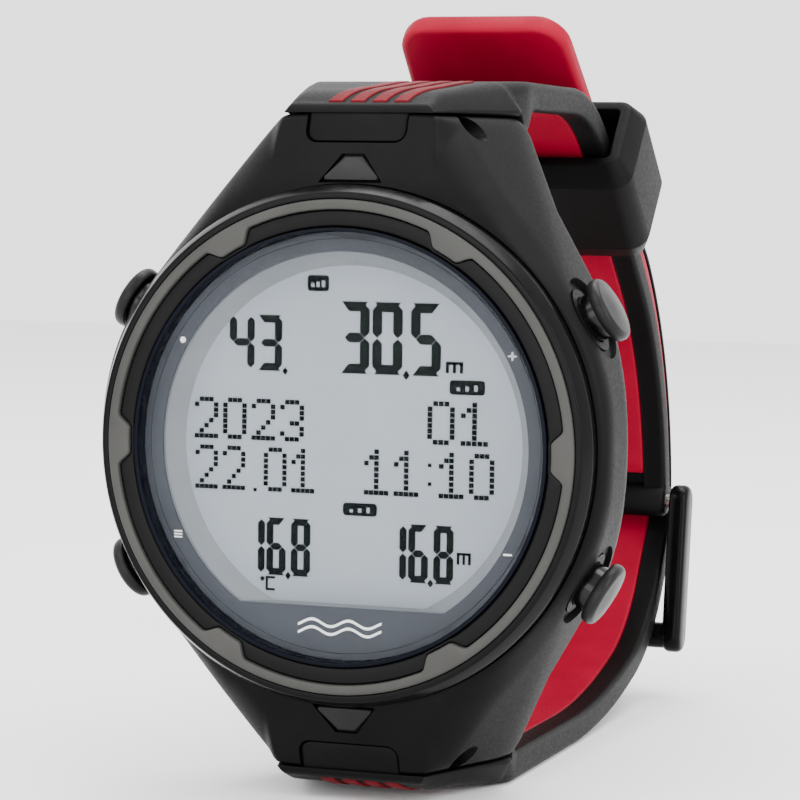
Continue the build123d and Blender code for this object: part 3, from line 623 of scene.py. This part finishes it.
def hole_cutters():
    used, spare = long_holes()
    cutters = [slot_cutter(at_distance(long_lower, used), USED_HOLE_LENGTH, HOLE_WIDTH)]
    cutters += [slot_cutter(at_distance(long_lower, d), HOLE_LENGTH, HOLE_WIDTH) for d in spare]
    for k in (1, 2):
        along = BACK_RADIUS * radians(4) + HOLE_PITCH * k
        cutters.append(slot_cutter(at_distance(back_bend, along), HOLE_LENGTH, HOLE_WIDTH))
    return cutters


def tail_half(distance):
    """Half width of the free end at a distance along it."""
    bend = BACK_RADIUS * radians(BACK_TURN)
    if distance < bend:
        return TAIL_HALF
    along = distance - bend
    half = mixed(TAIL_HALF, TAIL_TIP_HALF, along / TAIL_RUN)
    over = along - (TAIL_RUN - TAIL_CORNER)
    if over > 0:
        half += sqrt(max(0.0, TAIL_CORNER ** 2 - min(over, TAIL_CORNER) ** 2)) - TAIL_CORNER
    return half


def tail_sweep(near, far, r_near, r_far, short=0.0, inset=0.0):
    """A layer of the free end between two insets, closing softly at its tip."""
    rings = []
    stations = [s for s in tail_path[:-1] if s[3] < tail_path[-1][3] - short]
    y, z, heading, length = tail_path[-1]
    last = (y - short * cos(heading), z - short * sin(heading), heading, length - short)
    for back in (2.6, 1.8, 1.2, 0.8, 0.5, 0.3, 0.12, 0.0):
        stations.append((last[0] - back * cos(heading), last[1] - back * sin(heading), heading,
                         last[3] - back))
    stations.sort(key=lambda s: s[3])
    for y, z, angle, distance in stations:
        left = max(0.0, 0.45 - (last[3] - distance))
        pull = 0.45 - sqrt(max(0.0, 0.45 ** 2 - left ** 2)) if left else 0.0
        half = tail_half(distance + short) - pull - inset * smooth((distance - 33.0) / 8.0)
        shape = soften(rectangle(-half, near + pull, half, far - pull), [r_near, r_near, r_far, r_far], 5)
        rings.append(placed(shape, y, z, angle))
    return skin("tail", rings)


def long_strap():
    """The 6 o'clock strap, from its root to its free end."""
    rings = root_rings(-STRAP_BOTTOM, LONG_ROOT, LAYER, -1, STRAP_HALF)
    for y, z, angle, distance in long_lower:
        half = mixed(STRAP_HALF, TAIL_HALF + 0.1, smooth((distance - long_lower[-1][3] + 6) / 6))
        rings.append(placed(section(half, LAYER, 0.75, 0.55, LINING_HALF, LINING), y, z, angle))
    body = skin("strap_body", rings)
    carve(body, hole_cutters(), sharp=55)
    tail = tail_sweep(0.0, TAIL_BLACK, 0.25, 0.1, short=1.6, inset=1.3)
    carve(tail, hole_cutters())
    return dress(join("rubber_strap_long", [body, tail, tongue(-1)]), "strap", "strap_black", "strap_long")


def lining_sweep(stations, layer):
    """A red lining laid in the channel of a strap, slightly pillowed."""
    rings = []
    first, end = stations[0][3], stations[-1][3]
    half, bed = LINING_HALF - 0.05, layer - LINING + 0.02
    for y, z, angle, distance in stations:
        edge = min(distance - first, end - distance, 0.5) / 0.5
        lowered = 0.25 * (1 - sqrt(max(0.0, 1 - (1 - edge) ** 2)))
        shape = soften(rectangle(-half, bed, half, layer - lowered), [0.1, 0.1, 0.4, 0.4], 5)
        rings.append(placed(shape, y, z, angle))
    return skin("lining", rings)


def linings():
    start = SHORT_RADIUS * radians(5)
    total = short_path[-1][3]
    run = [s for s in short_path if start <= s[3] <= total - 1.5]
    dress(lining_sweep(run, SHORT_LAYER), "red", "strap_red", "strap_short_lining").name = "short_lining"
    run = [s for s in long_lower if s[3] >= 1.5]
    lower = lining_sweep(run, LAYER)
    carve(lower, hole_cutters())
    tail = tail_sweep(TAIL_BLACK + 0.03, LAYER, 0.8, 0.8)
    carve(tail, hole_cutters())
    dress(join("long_lining", [lower, tail]), "red", "strap_red", "strap_long_lining")


def emblem(name, crest, root, sign):
    """Four slanted bars laid on a strap root."""
    bars = []
    for k in range(4):
        rings = []
        for depth in np.linspace(ROOT_FRONT, EMBLEM_BACK, 26):
            x = -3.4 + EMBLEM_PITCH * k + EMBLEM_SLANT * (depth - ROOT_FRONT) / (EMBLEM_BACK - ROOT_FRONT)
            top = crown(depth, crest, root)
            shape = soften(rectangle(x, -0.18, x + EMBLEM_BAR, 0.35), [0.12, 0.12, 0.02, 0.02], 3)
            rings.append([(a, depth, sign * (top - n)) for a, n in shape])
        bars.append(skin("bar", rings))
    return dress(join("bars_" + name, bars), "emblem", "strap_red", name)


# ======== keeper and buckle
def straight_point(x, s, n):
    """A point of the straight stretch: across, along and inward."""
    y, z, angle = STRAIGHT[:3]
    return (x, y + s * cos(angle) - n * sin(angle), z + s * sin(angle) + n * cos(angle))


def keeper():
    wall = KEEPER_WALL
    near, far = -KEEPER_PLAY - wall, LAYER + LAYER_GAP + SHORT_LAYER + KEEPER_PLAY + wall
    half = STRAP_HALF + KEEPER_PLAY + wall
    outer = soften(rectangle(-half, near, half, far), 2.2, 7)
    inner = soften(rectangle(wall - half, near + wall, half - wall, far - wall), 0.6, 7)
    length, slope = KEEPER_LENGTH, 2.6
    profile = soften([(0, 0), (0, 0.5), (slope, 1), (length - slope, 1), (length, 0.5), (length, 0)],
                     [0.1, 0.25, 1.0, 1.0, 0.25, 0.1], 4)
    rings = []
    for (ox, on), (ix, inn) in zip(outer, inner):
        rings.append([straight_point(mixed(ix, ox, w), KEEPER_START + s, mixed(inn, on, w))
                      for s, w in profile])
    return dress(skin("keeper_loop_rubber", rings, wrap=True, sharp=40), "strap", "strap_black", "keeper",
                 body="keeper_loop")


def capsule(a, b, radius, count=24):
    """The outline of two equal circles and the lines between them, as (y, z)."""
    direction = atan2(b[1] - a[1], b[0] - a[0])
    found = []
    for centre, start in ((b, direction - pi / 2), (a, direction + pi / 2)):
        for angle in np.linspace(start, start + pi, count):
            found.append((centre[0] + radius * cos(angle), centre[1] + radius * sin(angle)))
    return np.array(found)


def along_x(name, outline, near, far, edge):
    """A (y, z) outline made solid along X with rounded ends."""
    outline = np.asarray(outline, float)
    centre = outline.mean(axis=0)
    lengths = np.linalg.norm(outline - centre, axis=1)[:, None]
    rings = []
    steps = [(edge * (1 - sin(t)), edge * (1 - cos(t))) for t in np.linspace(0, pi / 2, 5)]
    stations = [(near + out, pull) for pull, out in steps]
    stations += [(far - out, pull) for pull, out in reversed(steps)]
    for x, pull in stations:
        shape = outline + (centre - outline) * np.minimum(pull / lengths, 0.9)
        rings.append([(x, y, z) for y, z in shape])
    return skin(name, rings)


def buckle():
    arms = []
    round_steps = ((0.0, 0.6), (0.1, 0.33), (0.3, 0.12), (0.65, 0.0))     # distance from an end, inset
    for near, far in ((12.1, 14.3), (-14.3, -12.1)):
        stations = [(near + out, pull) for out, pull in round_steps]
        stations += [(far - out, pull) for out, pull in reversed(round_steps)]
        arms.append(skin("arm", [[(x, y, z) for y, z in capsule(BAR, CROSSBAR, 1.9 - pull)]
                                 for x, pull in stations]))
    arms.append(along_x("crossbar", circle(1.5, 40, CROSSBAR), -13.2, 13.2, 0.3))
    dress(join("buckle_loop", arms), "gloss", "gloss_black", "buckle_frame", body="buckle")
    y, z = BAR
    out, low = CROSSBAR[0] + 1.6, CROSSBAR[1]
    blade = soften([(y - 0.9, z), (y + 0.8, z), (out + 1.5, low + 1.0), (out + 1.3, low - 1.2),
                    (out, low - 1.4), (out, low + 1.0)], [0.2, 0.2, 0.8, 0.5, 0.4, 0.2], 5)
    tongue_bar = along_x("blade", blade, -1.2, 1.2, 0.3)
    unite(tongue_bar, along_x("eye", circle(1.55, 40, BAR), -1.2, 1.2, 0.25))
    carve(tongue_bar, [through_x(circle(0.85, 32, BAR), -2, 2)])
    tongue_bar.name = "prong_blade"
    dress(tongue_bar, "gloss", "prong_black", "buckle_prong", body="prong")


# ======== case
def hull_radius(angles):
    """Distance from the axis to the case outline in each direction, from its supporting lines."""
    turns = around(7200)
    reach = np.full_like(turns, CASE_RADIUS)
    for sx in (-1, 1):
        for sz in (-1, 1):
            corner = sx * LUG_CORNER_X * np.cos(turns) + sz * LUG_CORNER_Z * np.sin(turns) + LUG_CORNER
            reach = np.maximum(reach, corner)
    found = []
    for angle in angles:
        cosine = np.cos(turns - angle)
        keep = cosine > 0.2
        found.append(np.min(reach[keep] / cosine[keep]))
    return np.array(found)


def case_mesh():
    """The shell as rings round its wall, one for each direction from the axis."""
    angles = around(960)
    outline = hull_radius(angles)
    rings = []
    for angle, radius in zip(angles, outline):
        cosine, sine = cos(angle), sin(angle)
        slant = SHOULDER[0] * abs(cosine) + SHOULDER[2] * abs(sine)

        def reach(y):
            """The outline at one depth, drawn in softly where the shoulder is cut."""
            return soft_under(radius, (SHOULDER_REACH + SHOULDER[1] * y) / slant, 0.35) + 0.02

        near = reach(-11.5)
        at_end = smooth((abs(near * sine) - 29.0) / 2.0)
        high_up = smooth((abs(near * sine) - 12.0) / 8.0)
        fillet = mixed(mixed(2.3, 3.4, high_up), 0.45, at_end)

        def front(r):
            over = abs(r * sine) - LUG_SLOPE_START
            return SHELL_FRONT + LUG_SLOPE * 0.5 * (over + sqrt(over * over + 0.5))

        def back(r):
            return SHELL_BACK + 4.0 * min(1.0, max(0.0, (abs(r * sine) - 22.4) / 7.2))

        profile = [(BORE, MODULE_SEAT), (BORE, NECK_FRONT), (NECK_RADIUS, NECK_FRONT),
                   (NECK_RADIUS, RING_SEAT), (OUTER_RING + 0.1, RING_SEAT)]
        inner = OUTER_RING + 0.12
        for t in np.linspace(0, 1, 8):
            r = mixed(inner, near - fillet, t) if near - fillet > inner else mixed(inner, inner + 0.02, t)
            profile.append((r, front(r)))
        span = near - profile[-1][0]
        for t in np.linspace(0, pi / 2, 13)[1:]:
            r = near - span + span * sin(t)
            y = front(r) + fillet * (1 - cos(t))
            profile.append((r + (reach(y) - near) * sin(t), y))
        low, high = profile[-1][1], back(radius) - 0.9
        for t in np.linspace(0, 1, 14)[1:]:
            y = mixed(low, high, t)
            profile.append((reach(y), y))
        last = reach(high)
        for t in np.linspace(0, pi / 2, 5)[1:]:
            profile.append((last - 0.9 * (1 - cos(t)), high + 0.9 * sin(t)))
        for t in np.linspace(0, 1, 7)[1:]:
            r = mixed(last - 0.9, BACK_LEDGE, t)
            profile.append((r, back(r)))
        profile.append((BACK_LEDGE, MODULE_SEAT))
        ring = []
        for r, y in profile:
            x, z = r * cosine, r * sine
            limit = CASE_RADIUS - 3.2 * smooth_ramp((y + 6.5) / 5.1)
            if r > BACK_LEDGE + 0.1:
                x = copysign(soft_under(abs(x), limit, 0.3), x)
            ring.append((x, y, z))
        rings.append(ring)
    return skin("case_body", rings, wrap=True, sharp=32)


def button_axes(angle):
    """Directions along, across and beside a button, and the point of its axis in the case's own axis."""
    turn = radians(angle)
    out = np.array([cos(turn), 0, sin(turn)])
    side = np.array([-sin(turn), 0, cos(turn)])
    return out, side, np.array([0, 1.0, 0]), np.array([0, BUTTON_Y, 0])


def radial_rings(angle, profile, count=64):
    """Rings round a button's axis from (distance from the case axis, radius)."""
    out, side, depth, middle = button_axes(angle)
    return [[out * reach + middle + a * side + b * depth for a, b in circle(radius, count)]
            for reach, radius in profile]


def marker_outline(grow):
    low, high = 24.9 - grow, 27.4 + grow
    return [(-3.1 - grow, low), (3.1 + grow, low), (1.0 + grow, high), (-1.0 - grow, high)]


def case():
    """The shell with its button, tongue, marker and screw openings, and the two markers."""
    shell = case_mesh()
    cutters = []
    bore = [(17, 3.25), (30, 3.25)]
    pocket = [(25.3, 4.1), (25.6, 4.15), (27.5, 4.6), (31, 5.6)]
    for angle in BUTTON_ANGLES:
        cutters += [skin("cutter", radial_rings(angle, shape)) for shape in (bore, pocket)]
    for sign in (1, -1):
        notch = soften(rectangle(-5.1, 28.55, 5.1, 33.5), [1.2, 1.2, 0.1, 0.1], 6)
        cutters.append(prism("cutter", [(x, sign * z) for x, z in notch], -3.8, -15))
        cutters.append(prism("cutter", [(x, sign * z) for x, z in marker_outline(0.12)], -11.15, -15))
        for near, far in ((7.4, 16.0), (-16.0, -7.4)):
            cutters.append(through_x(circle(1.2, 36, (SCREW_Y, sign * SCREW_Z)), near, far))
        for x in (-13.0, 13.0):
            cutters.append(prism("cutter", circle(2.7, 48, (x, sign * 19.5)), 3.5, MODULE_SEAT))
    carve(shell, cutters, sharp=32)
    shade = shell.modifiers.new("shade", "WEIGHTED_NORMAL")
    shade.keep_sharp = True
    shell.name = "case_body"
    dress(shell, "shell", "shell_rubber", "case_shell")
    for name, sign in (("marker_12", 1), ("marker_6", -1)):
        rings = []
        for inset, sink in ((0.28, 0.0), (0.1, 0.06), (0.0, 0.25), (0.0, 1.6)):
            outline = soften(marker_outline(-0.08 - inset), 0.2, 4)
            rings.append([(x, SHELL_FRONT + 0.02 + LUG_SLOPE * (z - LUG_SLOPE_START) + sink, sign * z)
                          for x, z in outline])
        dress(skin("plate_" + name, rings), "marker", "marker_grey", name)


# ======== bezel
def tab_share(angle, soft=0.6):
    """How much of a tab there is in one direction: 1 on a tab, 0 between tabs."""
    off = abs((degrees(angle) - 30.0) % 60.0 - 30.0)
    values = [min(1.0, max(0.0, (6.1 - abs(off + d)) / 2.5)) for d in np.linspace(-soft, soft, 7)]
    return sum(values) / len(values)


def bezel():
    """The grey ring with its tabs, the black insert between them and the rings beside them."""
    rings, insert = [], []
    ring_out, ring_in = RIM_OUTER + 0.05, BEZEL_OUTER + 0.05
    insert_back = INSERT_BACK - 0.02
    for angle in around(1440):
        share = tab_share(angle)
        reach = mixed(BEZEL_INNER, BEZEL_TAB_REACH, share)
        profile = soften([(ring_out, BEZEL_BASE), (BEZEL_OUTER, BEZEL_BASE), (BEZEL_OUTER, BEZEL_FRONT),
                          (reach, BEZEL_FRONT), (reach, INSERT_BACK), (ring_out, INSERT_BACK)],
                         [0.05, 0.1, 0.32, 0.22, 0.02, 0.05], 4)
        rings.append(turned(profile, angle))
        outer = reach - 0.06
        bevel = min(0.3, (outer - INSERT_INNER) * 0.4)
        profile = soften(rectangle(INSERT_INNER, insert_back, outer, INSERT_FRONT),
                         [0.05, 0.05, min(0.18, bevel), bevel], 4)
        insert.append(turned(profile, angle))
    dress(skin("bezel_top", rings, wrap=True, sharp=38), "bezel", "bezel_grey", "bezel_ring")
    dress(skin("bezel_inlay", insert, wrap=True, sharp=38), "insert", "insert_black", "bezel_insert")
    dress(lathe("ring_gloss", [(ring_in, RING_SEAT), (OUTER_RING, RING_SEAT), (OUTER_RING, -14.3),
                               (23.9, -15.7), (ring_in, -15.7)], [0.05, 0.1, 0.35, 0.25, 0.1]),
          "gloss", "gloss_black", "outer_ring")
    dress(lathe("rim_ring", [(RIM_INNER, -15.72), (RIM_INNER + 0.1, -15.76), (RIM_OUTER, -15.75),
                             (RIM_OUTER, BEZEL_BASE), (RIM_INNER, BEZEL_BASE)], 0.04),
          "rim", "insert_black", "crystal_rim")


# ======== buttons
def buttons():
    profile = [(24.4, 1.12), (24.4, 2.2), (24.5, 2.3), (26.75, 2.3), (26.8, 2.7), (26.88, 2.98), (27.1, 3.12),
               (CAP_BASE, CAP_RADIUS)]
    for t in np.linspace(0, pi / 2, 8)[1:]:
        profile.append((CAP_BASE + CAP_ROUND * sin(t), CAP_RADIUS - CAP_ROUND * (1 - cos(t))))
    profile += [(28.20, 1.8), (28.30, 1.1), (28.35, 0.4)]
    for k, angle in enumerate(BUTTON_ANGLES, 1):
        out, side, depth, middle = button_axes(angle)
        cap = skin(f"cap_{k}", radial_rings(angle, profile), sharp=40)
        dress(cap, "cap", "cap_metal", f"button_cap_{k}", body=f"button_{k}")
        cap.data.materials.append(mats["neck"])
        for face in cap.data.polygons:
            if (face.center / MM).dot(Vector(out)) < NECK_LIMIT:
                face.material_index = 1
        coil = []
        for t in np.linspace(0, 1, 120):
            spin = 2 * pi * SPRING_TURNS * t
            away = side * cos(spin) + depth * sin(spin)
            centre = out * (SPRING_START + SPRING_LENGTH * t) + middle + away * SPRING_RADIUS
            coil.append([centre + a * away + b * out for a, b in circle(SPRING_WIRE, 12)])
        spring = dress(skin(f"coil_{k}", coil), "steel", "steel", f"button_spring_{k}")
        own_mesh(spring)


# ======== display
SEGMENTS = {"0": "abcdef", "1": "bc", "2": "abged", "3": "abgcd", "4": "fgbc", "5": "afgcd", "6": "afgedc",
            "8": "abcdefg", "9": "abcdfg"}


class Ink:
    """Collects thin raised plates of one colour and makes a single mesh of them."""

    def __init__(self, name, front, height):
        self.name, self.front, self.height = name, front, height
        self.points, self.faces = [], []

    def add(self, outline):
        base, size = len(self.points), len(outline)
        back, face = self.front + 0.001, self.front - self.height
        self.points += [(x, back, z) for x, z in outline] + [(x, face, z) for x, z in outline]
        self.faces += [tuple(base + size + k for k in range(size)),
                       tuple(base + k for k in reversed(range(size)))]
        self.faces += [(base + k, base + (k + 1) % size, base + size + (k + 1) % size, base + size + k)
                       for k in range(size)]

    def box(self, left, top, right, bottom):
        self.add(rectangle(left, top, right, bottom))

    def done(self, material):
        obj = make(self.name, self.points, self.faces)
        obj.data.materials.append(mats[material])
        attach(obj, CASE)
        return obj


def seven_segment(ink, left, top, width, height, digit):
    """One digit of mitred bars."""
    t = min(width * 0.34, height * 0.135)
    gap = 0.05
    right, bottom, middle = left + width, top - height, top - height / 2
    h = t / 2

    def across(z):
        a, b = left + h + gap, right - h - gap
        return [(a, z), (a + h, z + h), (b - h, z + h), (b, z), (b - h, z - h), (a + h, z - h)]

    def edge_bar(outer, inner):
        """A bar at the top or bottom, mitred towards the digit's outer edge."""
        a, b = left + 0.35 * h + gap, right - 0.35 * h - gap
        shape = [(a, outer), (b, outer), (b - 1.6 * h, inner), (a + 1.6 * h, inner)]
        return shape if inner < outer else list(reversed(shape))

    def upright(x, high, low):
        a, b = high - gap, low + gap
        return [(x, a), (x + h, a - h), (x + h, b + h), (x, b), (x - h, b + h), (x - h, a - h)]

    shapes = {"a": edge_bar(top, top - t), "g": across(middle), "d": edge_bar(bottom, bottom + t),
              "f": upright(left + h, top - 0.5 * h, middle), "b": upright(right - h, top - 0.5 * h, middle),
              "e": upright(left + h, middle, bottom + 0.5 * h),
              "c": upright(right - h, middle, bottom + 0.5 * h)}
    for letter in SEGMENTS[digit]:
        ink.add(shapes[letter])


DOTS = {
    "0": (".###.", "#...#", "#...#", "#...#", "#...#", "#...#", "#...#", ".###."),
    "1": ("..#..", ".##..", "#.#..", "..#..", "..#..", "..#..", "..#..", "#####"),
    "2": (".###.", "#...#", "....#", "....#", "...#.", "..#..", ".#...", "#####"),
    "3": (".###.", "#...#", "....#", "....#", "..##.", "....#", "#...#", ".###."),
}


def dotted(ink, left, top, width, height, digit):
    """One digit of small square dots, five across and eight down."""
    rows = DOTS[digit]
    spots = [(c, r) for r, row in enumerate(rows) for c, mark in enumerate(row) if mark == "#"]
    step_x, step_z = width / 5, height / len(rows)
    dot = 0.43 * min(step_x, step_z)
    for c, r in spots:
        x, z = left + (c + 0.5) * step_x, top - (r + 0.5) * step_z
        ink.box(x - dot, z + dot, x + dot, z - dot)


def number(ink, text, left, top, right, bottom, draw=seven_segment):
    """A row of digits, points and colons filling a box."""
    narrow = 0.5 if draw is dotted else 0.16
    units = sum(narrow if ch in ".:" else 1.0 for ch in text)
    pitch = (right - left) / units
    x, height = left, top - bottom
    for ch in text:
        if ch in ".:":
            centre = x + pitch * (narrow / 2 - 0.05)
            spots = [bottom] if ch == "." else [top - height * 0.3, bottom + height * 0.3]
            for z in spots:
                if draw is dotted:
                    r = 0.036 * height
                    z += r if ch == "." else 0
                    ink.box(centre - r, z + r, centre + r, z - r)
                else:
                    wide, tall = 0.040 * height + 0.06, 0.055 * height + 0.08
                    ink.add([(centre, z + tall), (centre + wide, z), (centre, z - tall), (centre - wide, z)])
            x += pitch * narrow
        else:
            draw(ink, x, top, pitch * (0.84 if draw is dotted else 0.90), height, ch)
            x += pitch


def small_m(ink, left, top, right, bottom):
    """The unit sign for metres."""
    t = (right - left) * 0.17
    middle = (left + right) / 2
    for x in (left, middle - t / 2, right - t):
        ink.box(x, top, x + t, bottom)
    ink.box(left, top, right, top - t)


def degree_c(ink, left, top, right, bottom):
    """The unit sign for degrees Celsius."""
    t = 0.2
    x, r = left, 0.26
    ink.add([(x, top - r), (x + r, top), (x + 2 * r, top - r), (x + r, top - 2 * r)])
    a = left + 0.62
    ink.box(a, top, a + t, bottom)
    for z in (top, bottom + t):
        ink.box(a, z, right, z - t)


def display():
    """Generic numerals and plain label plates on the display."""
    ink = Ink("display_digits", DISPLAY_FRONT, INK_HEIGHT)
    number(ink, "43.", -12.5, 12.1, -6.4, 6.8)
    number(ink, "30.5", -1.25, 13.6, 9.2, 6.8)
    small_m(ink, 9.4, 8.2, 11.07, 7.15)
    number(ink, "2023", -16.1, 4.1, -4.3, 0.05, dotted)
    number(ink, "22.01", -16.0, -0.5, -3.2, -4.85, dotted)
    number(ink, "01", 7.6, 4.5, 14.2, 0.35, dotted)
    number(ink, "11:10", 1.35, -0.25, 14.8, -4.7, dotted)
    number(ink, "16.8", -10.65, -7.3, -3.8, -12.8)
    degree_c(ink, -9.15, -12.95, -7.6, -14.3)
    number(ink, "16.8", 3.75, -7.25, 10.6, -12.75)
    small_m(ink, 10.75, -9.7, 12.1, -10.8)
    light = Ink("display_marks", DISPLAY_FRONT - INK_HEIGHT - 0.005, 0.02)
    labels = ((-4.56, 16.0, -2.41, 14.5), (9.8, 6.5, 13.25, 5.15), (-0.7, -5.5, 2.7, -6.7))
    for left, top, right, bottom in labels:
        ink.add(soften(rectangle(left, top, right, bottom), 0.32, 4))
        middle = (top + bottom) / 2
        half = (top - bottom) * 0.24
        for k in range(3):
            x = mixed(left, right, (k + 1) / 4)
            light.box(x - 0.16, middle - half, x + 0.16, middle + half * (0.4 * k - 0.04))
    ink.done("ink")
    light.done("display")


def ring_marks():
    """Plain signs printed on the mask beside the buttons, and a wave on its lower part."""
    mark = Ink("mask_signs", MASK_FRONT, 0.02)
    for angle, sign in ((149.5, "dot"), (208.5, "bars"), (28.5, "plus"), (330.5, "minus")):
        turn = radians(angle)
        cx, cz = 18.95 * cos(turn), 18.95 * sin(turn)
        r = 0.42
        if sign == "dot":
            mark.add(circle(0.3, 12, (cx, cz)))
        if sign == "bars":
            for k in (-1, 0, 1):
                z = cz + 0.28 * k
                mark.box(cx - r, z + 0.07, cx + r, z - 0.07)
        if sign in ("plus", "minus"):
            mark.box(cx - r, cz + 0.09, cx + r, cz - 0.09)
        if sign == "plus":
            for low, high in ((-r, -0.1), (0.1, r)):
                mark.box(cx - 0.09, cz + high, cx + 0.09, cz + low)
    for row in (0, 1):
        upper = [(x, -16.75 - 0.75 * row + 0.32 * sin(x * 1.7) + 0.13)
                 for x in np.linspace(-4.2, 4.2, 60)]
        lower = [(x, z - 0.26) for x, z in reversed(upper)]
        mark.add(upper + lower)
    mark.done("print")


# ======== everything that keeps its CAD shape
KEPT = {
    "glass": ("crystal",),
    "mask": ("dial_mask", "crystal_gasket"),
    "wall": ("display_wall",),
    "display": ("display_panel",),
    "light": ("backlight_panel",),
    "seal": ("case_back_seal", "hatch_seal", "button_seals"),
    "elastomer": ("connector_strips",),
    "board": ("main_board",),
    "chip": ("chips", "button_switches"),
    "steel": ("buzzer", "cell_spring", "coin_cell", "pressure_sensor", "sensor_grille", "case_back_screws",
              "lug_pins", "buckle_bar", "button_stem_", "button_clip_"),
    "bush": ("button_bushes", "lug_screws"),
    "frame": ("module_frame",),
    "back": ("case_back", "battery_hatch"),
}


def dress_kept():
    """Materials for the CAD pieces that are shown as they are."""
    for key, kept in KEPT.items():
        for name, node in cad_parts.items():
            if name in kept or name.rstrip("1234") in kept:
                node.data.materials.clear()
                node.data.materials.append(mats[key])
                if not node.hide_render:
                    node.data.shade_smooth()
                    node.data.set_sharp_from_angle(angle=radians(30))


case()
bezel()
buttons()
short_strap()
long_strap()
linings()
emblem("emblem_12", STRAP_TOP, SHORT_ROOT, 1)
emblem("emblem_6", -STRAP_BOTTOM, LONG_ROOT, -1)
keeper()
buckle()
display()
ring_marks()
dress_kept()

# ======== light, floor and camera
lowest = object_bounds()[0][2]
floor = make("floor", [(-900, -900, 0), (900, -900, 0), (900, 900, 0), (-900, 900, 0)], [(0, 1, 2, 3)])
floor.location.z = lowest - 0.0001
floor.data.materials.append(surface("floor_paper", (0.80, 0.80, 0.80), (0.83, 0.83, 0.83), (0.7, 0.85), 400.0,
                                    0.02, patch=8.0))

world = bpy.data.worlds.new("studio")
bpy.context.scene.world = world
world.use_nodes = True
backdrop = world.node_tree.nodes["Background"]
backdrop.inputs["Color"].default_value = (1, 1, 1, 1)
backdrop.inputs["Strength"].default_value = 2.3


def area_light(name, place, target, size, power):
    lamp = bpy.data.lights.new(name, "AREA")
    lamp.shape = "RECTANGLE"
    lamp.size, lamp.size_y = size
    lamp.energy = power
    obj = bpy.data.objects.new(name, lamp)
    bpy.context.scene.collection.objects.link(obj)
    obj.location = place
    obj.rotation_euler = (Vector(target) - Vector(place)).to_track_quat("-Z", "Y").to_euler()
    return obj


area_light("key", (-0.25, -0.45, 0.55), (0, 0.02, 0), (0.5, 0.4), 3.0)
area_light("fill", (0.55, -0.25, 0.25), (0, 0.02, 0), (0.25, 0.5), 3.2)
area_light("front", (-0.05, -0.6, 0.05), (0, 0.02, 0.01), (0.5, 0.3), 2.0)
area_light("top", (0.05, 0.15, 0.6), (0, 0.02, 0), (0.6, 0.3), 5.0)

azimuth, elevation, roll = radians(19.5), radians(3.98), radians(0.78)
toward = Vector((sin(azimuth) * cos(elevation), -cos(azimuth) * cos(elevation),
                 sin(elevation)))
right = Vector((cos(azimuth), sin(azimuth), 0))
up = toward.cross(right)
right_rolled = right * cos(roll) + up * sin(roll)
up_rolled = up * cos(roll) - right * sin(roll)
lens = bpy.data.cameras.new("camera")
lens.lens = 135.0
lens.sensor_width = 36.0
camera = bpy.data.objects.new("camera", lens)
bpy.context.scene.collection.objects.link(camera)
place = Vector((98.875, -276.968, 24.043)) * MM
facing = Matrix((right_rolled, up_rolled, toward)).transposed().to_4x4()
camera.matrix_world = Matrix.Translation(place) @ facing
bpy.context.scene.camera = camera
